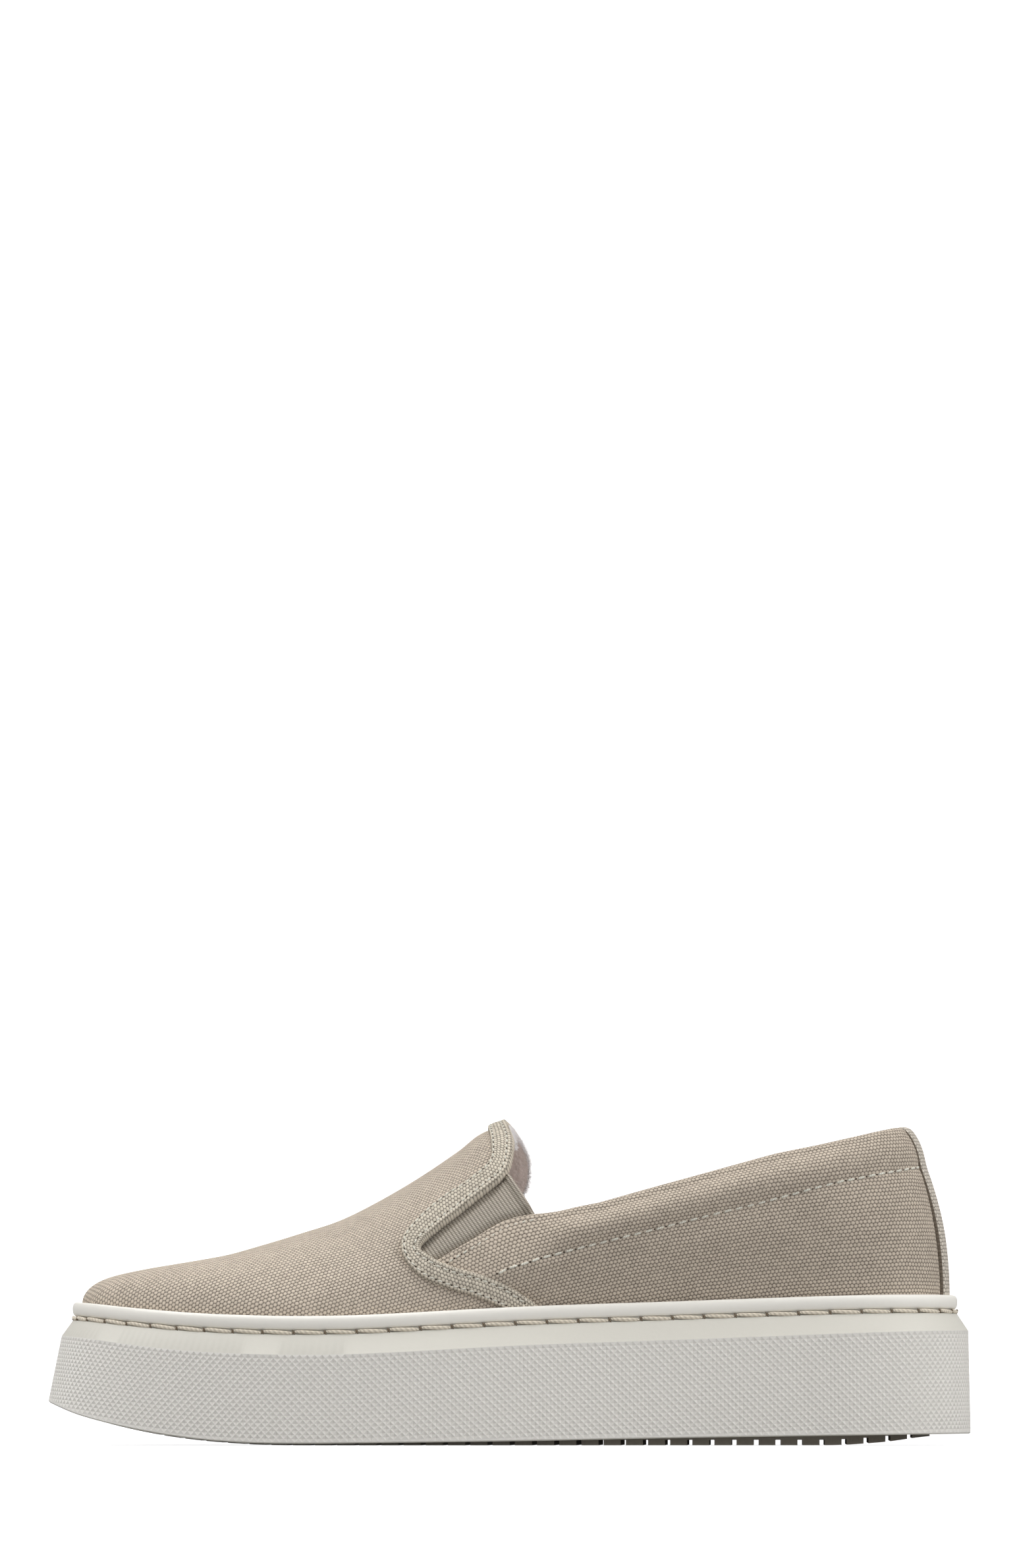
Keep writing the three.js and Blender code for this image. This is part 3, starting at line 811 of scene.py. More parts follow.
@dataclass
class Pattern:
    """The edges of the upper, drawn from the side in millimetres and thrown onto the form."""

    last: Last
    legs_begin: tuple[float, float] = (50, 60)  # lengths along the binding from its ends
    leg_share: float = 0.42
    folds = (
        Fold(Side.LATERAL, -45, 57, 13, 4.5, 35, -0.45),
        Fold(Side.LATERAL, -38, 50, 14, 4.5, 10, 0.35),
        Fold(Side.LATERAL, -92, 50, 22, 5, 12, 0.35),
        Fold(Side.LATERAL, -66, 49, 16, 4.5, 5, -0.35),
        Fold(Side.LATERAL, -22, 76, 12, 4, 42, -0.4),
        Fold(Side.LATERAL, 17, 49, 9, 3.5, 60, -0.4),
        Fold(Side.LATERAL, 30, 55, 17, 4, 14, -0.4),
        Fold(Side.LATERAL, 60, 60, 22, 5.5, 16, 0.4),
        Fold(Side.LATERAL, 90, 64, 14, 5, -35, -0.35),
        Fold(Side.LATERAL, 107, 68, 9, 9, 0, 0.45),
        Fold(Side.MEDIAL, -48, 58, 14, 4.5, 32, -0.45),
        Fold(Side.MEDIAL, -40, 50, 15, 5, 8, 0.4),
        Fold(Side.MEDIAL, -88, 51, 20, 5, 14, 0.3),
        Fold(Side.MEDIAL, -20, 73, 11, 4, 36, -0.35),
        Fold(Side.MEDIAL, 20, 50, 10, 4, 50, -0.4),
        Fold(Side.MEDIAL, 42, 57, 20, 5, 12, 0.4),
        Fold(Side.MEDIAL, 74, 61, 18, 5, -20, -0.4),
        Fold(Side.MEDIAL, 104, 66, 10, 8, 0, 0.4),
    )
    # Each row of a binding has its outer X and Z and its inner X and Z, from the rim up to the throat.
    tail = (
        (11.0, 33.6, 13.5, 37.0),
        (7.0, 35.8, 8.6, 40.9),
        (2.0, 38.4, 4.0, 44.2),
        (-2.9, 40.7, -0.9, 47.2),
        (-7.5, 42.6, -5.8, 49.3),
        (-11.6, 44.1, -10.1, 50.6),
        (-15.7, 45.2, -14.5, 51.7),
        (-21.0, 47.0, -19.0, 53.2),
        (-25.1, 48.9, -22.3, 54.9),
        (-29.0, 52.2, -24.6, 56.3),
        (-31.1, 55.5, -25.8, 57.4),
        (-31.6, 58.6, -25.8, 58.5),
        (-30.7, 61.9, -24.9, 59.7),
    )
    leg_lateral = (
        (-27.7, 65.5, -23.4, 61.2),
        (-23.2, 69.8, -19.5, 64.6),
        (-17.2, 74.4, -14.2, 68.8),
        (-12.5, 77.3, -9.4, 72.6),
        (-8.8, 80.4, -5.0, 76.1),
        (-6.2, 82.9, -1.8, 78.7),
        (-5.1, 85.2, 0.4, 82.2),
        (-5.1, 88.4, 1.4, 87.6),
        (-5.4, 91.3, 1.2, 91.8),
    )
    leg_medial = (
        (-27.7, 65.0, -23.4, 60.9),
        (-23.0, 68.3, -19.5, 63.0),
        (-17.1, 71.2, -13.5, 66.1),
        (-10.5, 74.2, -7.5, 69.4),
        (-5.5, 76.6, -1.5, 71.9),
        (-2.3, 79.3, 3.4, 74.6),
        (-0.9, 82.9, 5.8, 78.8),
        (-1.2, 87.0, 6.1, 85.6),
        (-3.0, 90.6, 4.0, 91.0),
    )
    # The free end of each elastic, its low and its high corner.
    hem_lateral = ((8.7, 67.2), (-1.9, 83.6))
    hem_medial = ((7.4, 67.0), (2.2, 76.0))
    ridge = (-5.8, -0.3)
    # The top edge of the quarter: along the elastic, and then the collar.
    top_line = (
        (-30, 49.6),
        (-25.5, 51.8),
        (-21.0, 54.2),
        (-15.8, 57.4),
        (-11.3, 60.0),
        (-6.4, 63.1),
        (-1.6, 65.9),
        (3.3, 67.5),
        (7.2, 68.3),
        (14.9, 69.1),
        (26.7, 71.4),
        (38.4, 74.8),
        (44.3, 76.5),
        (56.0, 79.8),
        (79.5, 86.5),
        (91.2, 89.1),
        (103.1, 92.1),
        (109.3, 93.7),
        (115.6, 95.2),
        (118.6, 95.5),
        (132.5, 95.8),
    )
    # The stitched seam under the collar's padding, from its hook to the heel.
    seam_line = (
        (-3.5, 49.9),
        (0.0, 51.6),
        (4.9, 53.0),
        (9.1, 54.5),
        (17.5, 56.8),
        (28.7, 59.7),
        (44.1, 63.5),
        (56.9, 66.8),
        (75.6, 71.3),
        (98.3, 77.5),
        (109.9, 80.1),
        (117.7, 81.7),
        (124.7, 83.0),
        (131, 84.4),
    )

    def border(self) -> np.ndarray:
        """Where the vamp's cloth ends: under the middle of the tail, and near the inner edge of the leg.

        Returns:
            The points, from the lateral rim to the medial one.
        """
        outer, inner = self.band()
        middle = (outer + inner) / 2
        length = running(middle)
        legs = smooth(*self.legs_begin, np.minimum(length, length[-1] - length))[:, None]
        return middle + (inner - outer) * legs * self.leg_share

    def lift(self, place: np.ndarray, column: np.ndarray) -> np.ndarray:
        """How far the folds lift the cloth.

        Args:
            place: Points on the form.
            column: Their places round the outline.

        Returns:
            The lift, in millimetres.
        """
        lateral = column < self.last.heel_at
        total = np.zeros(place.shape[:-1])
        for fold in self.folds:
            total += fold.at(place) * (lateral == (fold.side is Side.LATERAL))
        return total

    def band(self) -> tuple[np.ndarray, np.ndarray]:
        """The outer and inner edges of the binding on the form, from the lateral rim to the medial one.

        Returns:
            The outer edge's points and the inner edge's, in pairs.
        """
        sides = []
        for side, leg in ((Side.LATERAL, self.leg_lateral), (Side.MEDIAL, self.leg_medial)):
            rows = np.array([*self.tail, *leg])
            edges = [self.last.from_side(edge, side) for edge in (rows[:, :2], rows[:, 2:])]
            sides.append(np.hstack(edges))
        top = [self._on_ridge(x) for x in self.ridge]
        rows = np.vstack([sides[0], np.hstack(top)[None], sides[1][::-1]])
        path = soften(rows, 321)
        return path[:, :3], path[:, 3:]

    def _on_ridge(self, x: float) -> np.ndarray:
        """The ridge's point at an X.

        Args:
            x: The X, in millimetres.

        Returns:
            The point.
        """
        along = self.last.along(x)
        last = self.last
        roof = last.sole_height + last.form.read("roof", along) * last.instep_rise
        return np.array([x, last.form.read("ridge", along) * last.ball_width, roof])


@dataclass
class Vamp:
    """The front of the upper, one cloth over the toe with its lining behind it."""

    last: Last
    pattern: Pattern
    wall: float = 2.0
    slope: float = 15.5
    dip: float = 0.45
    dip_reach: tuple[float, float] = (5.5, 2.5)  # lengths from the binding
    fold_reach: tuple[float, float] = (1, 7)
    fold_top: tuple[float, float] = (0.86, 0.97)
    columns: int = 110
    rows: int = 60

    def build(self, canvas: Material, lining: Material) -> Object:
        """Makes the vamp.

        Args:
            canvas: The cloth's finish.
            lining: The lining's finish.

        Returns:
            The piece.
        """
        middle = self.pattern.border()
        half = int(np.argmax(middle[:, 2]))
        levels = np.linspace(self.last.foot_level, 1, self.rows + 1)
        sides = []
        for side, line in ((Side.LATERAL, middle[: half + 1]), (Side.MEDIAL, middle[half:][::-1])):
            place = self.last.place(line, side)
            order = np.argsort(place[:, 1])
            ends = np.interp(levels, place[order, 1], place[order, 0])
            ends[-1] = place[-1, 0]
            start = 0 if side is Side.LATERAL else self.last.spans
            sides.append([self._row(start, end, level) for end, level in zip(ends, levels)])
        grid = np.array([*sides[0][:-1], *reversed(sides[1])])
        grid = grid[:, ::-1]
        piece = Bench.sheet("vamp", grid)
        Bench.weld(piece)
        Bench.edit(piece, (bpy.ops.uv.unwrap, {"method": "ANGLE_BASED", "margin": 0}))
        centres = Bench.centres(piece)
        patch = (centres[:, 1] < -20) & (np.abs(centres[:, 0] + 60) < 25) & (centres[:, 2] > 48)
        Bench.lay_cloth(piece, self.slope, patch, np.ones(len(centres), bool))
        face = piece.data.polygons[int(np.argmax(patch))]
        outward = face.normal.y < 0
        for material in (canvas, lining):
            piece.data.materials.append(material)
        Bench.apply(
            piece,
            "SOLIDIFY",
            thickness=self.wall * MM,
            offset=-1 if outward else 1,
            use_even_offset=False,
            material_offset=1,
            material_offset_rim=1,
        )
        Bench.edit(piece, (bpy.ops.mesh.normals_make_consistent, {"inside": False}))
        Bench.shade(piece, 60)
        return Bench.dress(piece, Slot.CANVAS, canvas, lining)

    def _row(self, start: float, end: float, level: float) -> np.ndarray:
        """One row of the cloth, evenly spaced from the toe to the binding.

        Args:
            start: The column at the toe.
            end: The column at the binding.
            level: The row's level.

        Returns:
            The row's points.
        """
        columns = np.linspace(start, end, 260)
        line = self.last.at(columns, level)
        length = np.linalg.norm(line - line[-1], axis=1)
        dip = -self.dip * smooth(*self.dip_reach, length) * (level < 0.98)
        lift = self.pattern.lift(line, columns) * smooth(*self.fold_reach, length)
        lift = lift * (1 - smooth(*self.fold_top, level))
        return evenly(line + self.last.normal(columns, level) * (dip + lift)[:, None], self.columns + 1)


@dataclass
class Quarter:
    """The back of the upper in one cloth round the heel, with its padded collar."""

    last: Last
    pattern: Pattern
    wall: float = 2.0
    pad: float = 2.4
    puff: float = 3.2
    crown: float = 0.62
    tuck: float = 1.1
    lean: float = 2.8
    edge_radius: float = 0.9
    seam_depth: float = 0.6
    seam_width: float = 1.3
    strip_half: float = 9.2
    strip_groove: float = 0.32
    groove_width: float = 0.8
    groove_begins: float = 100
    sag: float = 0.6  # how far the padding falls again over its crown, as a share
    edge_puff: float = 0.36  # the share of the puff that the top edge has
    pucker: float = 0.3
    lining_from: float = 0.62  # the share of the rounding that is cloth
    # Between two X: the padding, its puff and the heel begin, and the lean begins and ends.
    padding_begins: tuple[float, float] = (-2, 20)
    puff_begins: tuple[float, float] = (6, 22)
    heel_begins: tuple[float, float] = (70, 122)
    lean_begins: tuple[float, float] = (-18, 4)
    lean_ends: tuple[float, float] = (84, 118)
    tuck_height: tuple[float, float] = (22, -2)
    slope: float = 10
    columns: int = 300
    rows: int = 46
    round_rows: int = 12

    def __post_init__(self) -> None:
        """Works out the cloth's corners and its top edge on the form."""
        last = self.last
        self.top_level = last.level_of(np.array(self.pattern.top_line))
        self.seam_level = last.level_of(np.array(self.pattern.seam_line))

    def _girth(self, column: np.ndarray) -> np.ndarray:
        """The form's length from rim to ridge at a column."""
        return np.interp(column, self.last.columns, self.last.girth)

    def _padding(self, column: np.ndarray) -> np.ndarray:
        """How far the collar's padding has begun: 0 at its front end, 1 along the collar."""
        x = self.last.edge(column)[..., 0]
        return smooth(*self.padding_begins, x)

    def half_edge(self, column: np.ndarray) -> np.ndarray:
        """Half the thickness of the top edge."""
        share = self._padding(column)
        return self.edge_radius + ((self.wall + self.pad + self.puff * self.edge_puff) / 2 - self.edge_radius) * share

    def top(self, column: np.ndarray) -> np.ndarray:
        """The level at which the rounding of the top edge starts."""
        level = np.interp(column, self.last.columns, self.top_level)
        return level - self.half_edge(column) / self._girth(column)

    def offsets(self, column: np.ndarray, level: np.ndarray) -> tuple[np.ndarray, np.ndarray]:
        """How far the outer and the inner skins lie from the form.

        Args:
            column: Places round the shoe.
            level: Levels there.

        Returns:
            The outer and the inner offset, in millimetres.
        """
        seam = np.interp(column, self.last.columns, self.seam_level)
        top = self.top(column)
        share = self._padding(column)
        over = (level - seam) * self._girth(column)
        height = np.maximum((top - seam) * self._girth(column), 1)
        rise = np.clip(over / height, 0, 1)
        swell = np.sin(math.pi / 2 * np.minimum(rise / self.crown, 1))
        belly = swell - self.sag * (np.maximum(rise - self.crown, 0) / (1 - self.crown)) ** 2
        place = self.last.at(column, level)
        x = place[..., 0]
        pucker = 1 + self.pucker * np.sin(0.55 * x + 1.3 * np.sin(0.13 * x))
        valley = np.exp(-((over / self.seam_width) ** 2)) * self.seam_depth * pucker
        puffed = smooth(*self.puff_begins, x)
        heel = smooth(*self.heel_begins, x)
        above = level * self._girth(column)
        sides = smooth(*self.lean_begins, x) * (1 - smooth(*self.lean_ends, x))
        tilt = self.lean * smooth(0, 1, above / np.maximum(above - over, 1)) * (1 - rise)
        tilt = (tilt - self.tuck * smooth(*self.tuck_height, above)) * sides
        lift = self.pattern.lift(place, column) * (1 - smooth(-5, 1, over)) + tilt
        beside = np.abs(place[..., 1] - self.last.heel_tip * self.last.heel_width) - self.strip_half
        groove = self.strip_groove * np.exp(-((beside / self.groove_width) ** 2)) * (x > self.groove_begins)
        padding = self.puff * puffed * (1 - 0.8 * heel) * belly
        outer = padding - share * valley * (1 - 0.3 * heel) - groove + lift
        inner = tilt - self.wall - share * self.pad * smooth(0, 0.35, rise)
        flat = (1 - share) * smooth(3, 0, (top - level) * self._girth(column))
        return outer, inner + flat * (self.wall - 2 * self.edge_radius)

    def skin(self, column: np.ndarray, level: np.ndarray) -> np.ndarray:
        """Points of the outer skin."""
        outer, _ = self.offsets(column, level)
        return self.last.at(column, level) + self.last.normal(column, level) * outer[..., None]

    def section(self, column: np.ndarray, level: np.ndarray, turn: np.ndarray) -> np.ndarray:
        """Points of the rounding over the top edge.

        Args:
            column: Places round the shoe.
            level: The level of the top edge there.
            turn: The angle over the edge, from 0 outside to pi inside.

        Returns:
            The points.
        """
        outer, inner = self.offsets(column, level)
        radius, middle = (outer - inner) / 2, (outer + inner) / 2
        normal, up = self.last.normal(column, level), self.last.up(column, level)
        side = (middle + radius * np.cos(turn))[..., None] * normal
        return self.last.at(column, level) + side + (radius * np.sin(turn))[..., None] * up

    def build(self, canvas: Material, lining: Material) -> Object:
        """Makes the quarter.

        Args:
            canvas: The cloth's finish.
            lining: The lining's finish.

        Returns:
            The piece.
        """
        column, level = self._cloth()
        outer, inner = self.offsets(column, level)
        form, normal = self.last.at(column, level), self.last.normal(column, level)
        outside = form + normal * outer[..., None]
        inside = form + normal * inner[..., None]
        turns = np.linspace(0, math.pi, self.round_rows + 1)[1:-1]
        crown = np.stack([self.section(column[-1], level[-1], np.full(column.shape[1], t)) for t in turns])
        rows = np.concatenate([outside, crown, inside[::-1], outside[:1]])
        core = (outside + inside) / 2
        middle = np.concatenate([core, np.repeat(core[-1:], len(crown), 0), core[::-1], core[:1]])
        grid = np.concatenate([middle[:, :1], rows, middle[:, -1:]], 1)
        piece = Bench.sheet("quarter", grid)
        count = grid.shape[1] - 1
        face_row = np.arange(len(piece.data.polygons)) // count
        cut = len(outside) + int(len(crown) * self.lining_from)
        Bench.paint(piece, (face_row >= cut).astype(int))
        self._unfold(piece, face_row, cut)
        return Bench.finish(piece, 60, Slot.CANVAS, canvas, lining)

    def _cloth(self) -> tuple[np.ndarray, np.ndarray]:
        """Lays out the cloth as rows of columns and levels.

        Returns:
            The columns and the levels.
        """
        outer, inner = self.pattern.band()
        middle = (outer + inner) / 2
        bottom = self.last.foot_level
        ends = []
        for side, run in ((Side.LATERAL, middle[:110]), (Side.MEDIAL, middle[::-1][:110])):
            line = self.last.place(run, side)
            at_top = self.top(line[:, 0])
            keep = np.argmax(line[:, 1] >= at_top) or len(line)
            line = line[: keep + 1]
            levels = np.linspace(bottom, line[-1, 1], self.rows + 1)
            order = np.argsort(line[:, 1])
            ends.append(np.stack([np.interp(levels, line[order, 1], line[order, 0]), levels], 1))
        left, right = ends
        u = np.linspace(0, 1, self.columns + 1)
        low_c = self._spread(left[0, 0], right[0, 0], u)
        high_c = self._spread(left[-1, 0], right[-1, 0], u)
        high_l = self.top(high_c)
        v = np.linspace(0, 1, self.rows + 1)[:, None]
        column = (1 - v) * low_c + v * high_c
        level = (1 - v) * bottom + v * high_l
        for end, weight in ((left, (1 - u) ** 6), (right, u**6)):
            at = 0 if end is left else -1
            column = column + (end[:, :1] - column[:, at : at + 1 or None][:, :1]) * weight
            level = level + (end[:, 1:] - level[:, at : at + 1 or None][:, :1]) * weight
        return column, level

    def _spread(self, start: float, end: float, share: np.ndarray) -> np.ndarray:
        """Spaces columns evenly by length round the shoe.

        Args:
            start: The first column.
            end: The last column.
            share: Shares of the length between them.

        Returns:
            The columns.
        """
        fine = np.linspace(start, end, 600)
        edge = self.last.edge(fine)
        length = running(edge)
        return np.interp(share * length[-1], length, fine)

    def _unfold(self, piece: Object, face_row: np.ndarray, cut: int) -> None:
        """Unfolds the cloth and the lining, each flat.

        Args:
            piece: The quarter.
            face_row: The row of each face.
            cut: The row where the lining begins.
        """
        mesh = piece.data
        edges = np.zeros(len(mesh.edges) * 2, int)
        mesh.edges.foreach_get("vertices", edges)
        columns = self.columns + 3
        rows = edges.reshape(-1, 2) // columns
        along = (edges.reshape(-1, 2)[:, 1] - edges.reshape(-1, 2)[:, 0]) == 1
        seam = along & (rows[:, 0] == cut)
        mesh.edges.foreach_set("use_seam", seam)
        Bench.edit(piece, (bpy.ops.uv.unwrap, {"method": "ANGLE_BASED", "margin": 0}))
        centres = Bench.centres(piece)
        near = (centres[:, 1] < -15) & (np.abs(centres[:, 0] - 50) < 30) & (centres[:, 2] > 48)
        for faces in (face_row < cut, face_row >= cut):
            Bench.lay_cloth(piece, self.slope, near & faces, faces)


@dataclass
class Binding:
    """The folded tape over the vamp's edge, from sole to sole over the throat."""

    last: Last
    pattern: Pattern
    height: float = 1.6
    bury: float = 0.6
    wrap: float = 1.1
    across: int = 15
    legs_begin: tuple[float, float] = (48, 62)
    cloth_step: float = 0.45  # of the cloth's coordinates from point to point across it
    outer_row: float = 1.1
    inner_row: float = 1.8
    dimple: float = 0.22
    dimple_width: float = 0.55
    fold_radius: float = 0.9
    edge_share: float = 0.35  # how high the folded edge stands, as a share

    def stations(self) -> tuple[np.ndarray, np.ndarray, np.ndarray, np.ndarray]:
        """Lays the band out on the form.

        Returns:
            Its points, their normals, its widths and how far each station is from the tail.
        """
        outer, inner = self.pattern.band()
        share = np.linspace(0, 1, self.across)
        flat = outer[:, None] * (1 - share[:, None]) + inner[:, None] * share[:, None]
        points, normals = self.last.drape(flat.reshape(-1, 3))
        shape = flat.shape
        points, normals = points.reshape(shape), unit(normals.reshape(shape))
        middle = points[:, self.across // 2]
        length = running(middle)
        return points, normals, np.linalg.norm(outer - inner, axis=1), length

    def surface(self, share: np.ndarray, width: np.ndarray) -> np.ndarray:
        """The band's height over the form across it.

        Args:
            share: Shares of the width from the outer edge.
            width: The width there.

        Returns:
            The height, in millimetres.
        """
        edge = np.minimum(share, 1 - share) * width
        fold = rounded(edge, self.fold_radius)
        rows = ((share * width, self.outer_row), ((1 - share) * width, self.inner_row))
        sunk = sum(np.exp(-(((at - row) / self.dimple_width) ** 2)) for at, row in rows)
        return self.height * (self.edge_share + (1 - self.edge_share) * fold) - self.dimple * sunk

    def build(self, cloth: Material) -> Object:
        """Makes the band.

        Args:
            cloth: The cloth's finish.

        Returns:
            The piece.
        """
        points, normals, width, length = self.stations()
        share = np.linspace(0, 1, self.across)
        height = self.surface(share[None], width[:, None])
        top = points + normals * height[..., None]
        legs = smooth(*self.legs_begin, np.minimum(length, length[-1] - length))
        depth = self.bury + (self.wrap - self.bury) * legs
        low_outer = points[:, :1] - normals[:, :1] * self.bury
        low_inner = points[:, -1:] - normals[:, -1:] * depth[:, None, None]
        middle = points[:, self.across // 2][:, None] - normals[:, self.across // 2][:, None] * self.bury
        ring = np.concatenate([low_outer, top, low_inner, middle, low_outer], 1)
        caps = np.repeat(ring.mean(1, keepdims=True), ring.shape[1], 1)
        grid = np.concatenate([caps[:1], ring, caps[-1:]])
        across = np.concatenate([[0], np.cumsum(np.full(ring.shape[1] - 1, self.cloth_step))])
        along = np.concatenate([[0], length, [length[-1]]])
        uv = np.stack(np.broadcast_arrays(along[:, None], across[None]), -1)
        piece = Bench.sheet("binding_band", grid, uv)
        return Bench.finish(piece, 50, Slot.BINDING, cloth)

    def row(self, share_at: str) -> tuple[np.ndarray, np.ndarray]:
        """A stitch row of the band.

        Args:
            share_at: "outer" or "inner".

        Returns:
            The row's points and the outward directions.
        """
        points, normals, width, _ = self.stations()
        inset = self.outer_row / width if share_at == "outer" else 1 - self.inner_row / width
        at = inset * (self.across - 1)
        i = np.floor(at).astype(int)
        w = (at - i)[:, None]
        index = np.arange(len(points))
        line = points[index, i] * (1 - w) + points[index, i + 1] * w
        normal = unit(normals[index, i])
        height = self.surface(inset, width)
        return line + normal * height[:, None], normal


@dataclass
class Gore:
    """The elastic of one side, sewn behind the vamp and the quarter."""

    last: Last
    pattern: Pattern
    side: Side
    depth: float = 1.6
    thickness: float = 1.1
    hem: float = 2.0
    hem_rise: float = 0.8
    line_depth: float = 0.9  # of the sewn line beside the hem
    line_width: float = 0.4
    bulge: float = 1.4
    columns: int = 44
    rows: int = 26
    slope: float = 21

    def build(self, elastic: Material) -> Object:
        """Makes the elastic.

        Args:
            elastic: The elastic's finish.

        Returns:
            The piece.
        """
        name = self.side.name.lower()
        leg, hem = getattr(self.pattern, f"leg_{name}"), getattr(self.pattern, f"hem_{name}")
        rows = np.array([*self.pattern.tail[-2:], *leg])[:7, 2:]
        high = soften(np.vstack([rows + np.array([-1.2, 1.4]), hem[1]]), self.columns + 1)
        low = np.array(self.pattern.top_line[1:9]) + np.array([0.8, -2.5])
        low[-1] = hem[0]
        low = soften(low, self.columns + 1)
        share = np.linspace(0, 1, self.rows + 1)[:, None, None]
        flat = low * (1 - share) + high * share
        bow = np.linspace(0, 1, self.columns + 1)[None]
        points = self.last.from_side(flat.reshape(-1, 2), self.side).reshape(*flat.shape[:2], 3)
        _, normals = self.last.drape(points.reshape(-1, 3))
        normals = unit(normals.reshape(points.shape))
        along = length_of(high)
        from_hem = (1 - bow) * along
        roll = np.sqrt(np.clip(np.sin(math.pi * from_hem / self.hem), 0, 1)) * self.hem_rise
        roll = np.where(from_hem < self.hem, roll, 0)
        line = np.exp(-(((from_hem - self.hem) / self.line_width) ** 2)) * self.line_depth
        edge = np.minimum(share[..., 0], 1 - share[..., 0]) * np.linalg.norm(high - low, axis=1)[None]
        bulge = self.bulge * smooth(2.2, 5.0, edge)
        outer = points - normals * (self.depth - roll + line - bulge)[..., None]
        inner = points - normals * (self.depth + self.thickness)
        grid = np.concatenate([outer, inner[::-1], outer[:1]])
        middle = (outer + inner) / 2
        ends = np.concatenate([middle, middle[::-1], middle[:1]])
        grid = np.concatenate([ends[:, :1], grid, ends[:, -1:]], 1)
        turn = math.radians(self.slope)
        u = grid[..., 0] * math.cos(turn) + grid[..., 2] * math.sin(turn)
        v = grid[..., 2] * math.cos(turn) - grid[..., 0] * math.sin(turn)
        piece = Bench.sheet(f"elastic_{name}", grid, np.stack([u, v], -1))
        return Bench.finish(piece, 50, Slot.ELASTIC, elastic)


@dataclass
class HeelStrip:
    """The strip of cloth up the back of the heel, folded over the collar."""

    quarter: Quarter
    width: float = 18.4
    thickness: float = 1.35
    thin_top: float = 0.75
    edge_share: float = 0.12  # how high its edge stands, as a share
    reach: float = 3.2  # how far round the heel it is laid out, in spans
    passes: int = 9  # how often the strip is smoothed along its length
    rounding: float = 1.5
    inside: float = 9.0
    across: int = 21
    rows: int = 56

    def build(self, cloth: Material) -> Object:
        """Makes the strip.

        Args:
            cloth: The cloth's finish.

        Returns:
            The piece.
        """
        quarter, last = self.quarter, self.quarter.last
        columns = np.linspace(last.heel_at - self.reach, last.heel_at + self.reach, 161)
        top = quarter.top(columns)
        paths = []
        for share in np.linspace(-0.02, 1, self.rows):
            paths.append((quarter.skin(columns, top * share), last.normal(columns, top * share)))
        for turn in np.linspace(0, math.pi, 15)[1:]:
            crown = quarter.section(columns, top, np.full(len(columns), turn))
            normal, up = last.normal(columns, top), last.up(columns, top)
            paths.append((crown, normal * math.cos(turn) + up * math.sin(turn)))
        for drop in np.linspace(0, self.inside, 6)[1:]:
            level = top - drop / np.interp(columns, last.columns, last.girth)
            _, inner = quarter.offsets(columns, level)
            normal = last.normal(columns, level)
            paths.append((last.at(columns, level) + normal * inner[:, None], -normal))
        share = np.linspace(-1, 1, self.across)
        wanted = np.sign(share) * (1 - (1 - np.abs(share)) ** 1.5) * self.width / 2
        edge = (1 - np.abs(wanted) / (self.width / 2)) * self.width / 2
        height = self.thickness * (self.edge_share + (1 - self.edge_share) * rounded(edge, self.rounding))
        outer, inner = [], []
        rows = np.linspace(0, 1, len(paths))
        for (line, normal), up in zip(paths, rows):
            length = running(line)
            length -= np.interp(last.heel_at, columns, length)
            at = read_line(line, length, wanted)
            out = unit(read_line(normal, length, wanted))
            thin = self.thin_top * float(smooth(0.25, 0.6, up))
            outer.append(at + out * (height - thin * height / self.thickness)[:, None])
            inner.append(at - out * 0.5)
        outer, inner = np.array(outer), np.array(inner)
        for _ in range(self.passes):
            outer[1:-1] = (outer[:-2] + 2 * outer[1:-1] + outer[2:]) / 4
        along = running(outer[:, self.across // 2])
        grid = np.concatenate([outer, inner[:, ::-1], outer[:, :1]], 1)
        core = (outer + inner) / 2
        middle = np.concatenate([core, core[:, ::-1], core[:, :1]], 1)
        grid = np.concatenate([middle[:1], grid, middle[-1:]])
        u = np.concatenate([wanted, wanted[::-1], wanted[:1]])
        v = np.concatenate([along[:1], along, along[-1:]])
        uv = np.stack(np.broadcast_arrays(u[None], v[:, None]), -1)
        piece = Bench.sheet("heel_strip_cloth", grid, uv)
        return Bench.finish(piece, 50, Slot.STRIP, cloth)


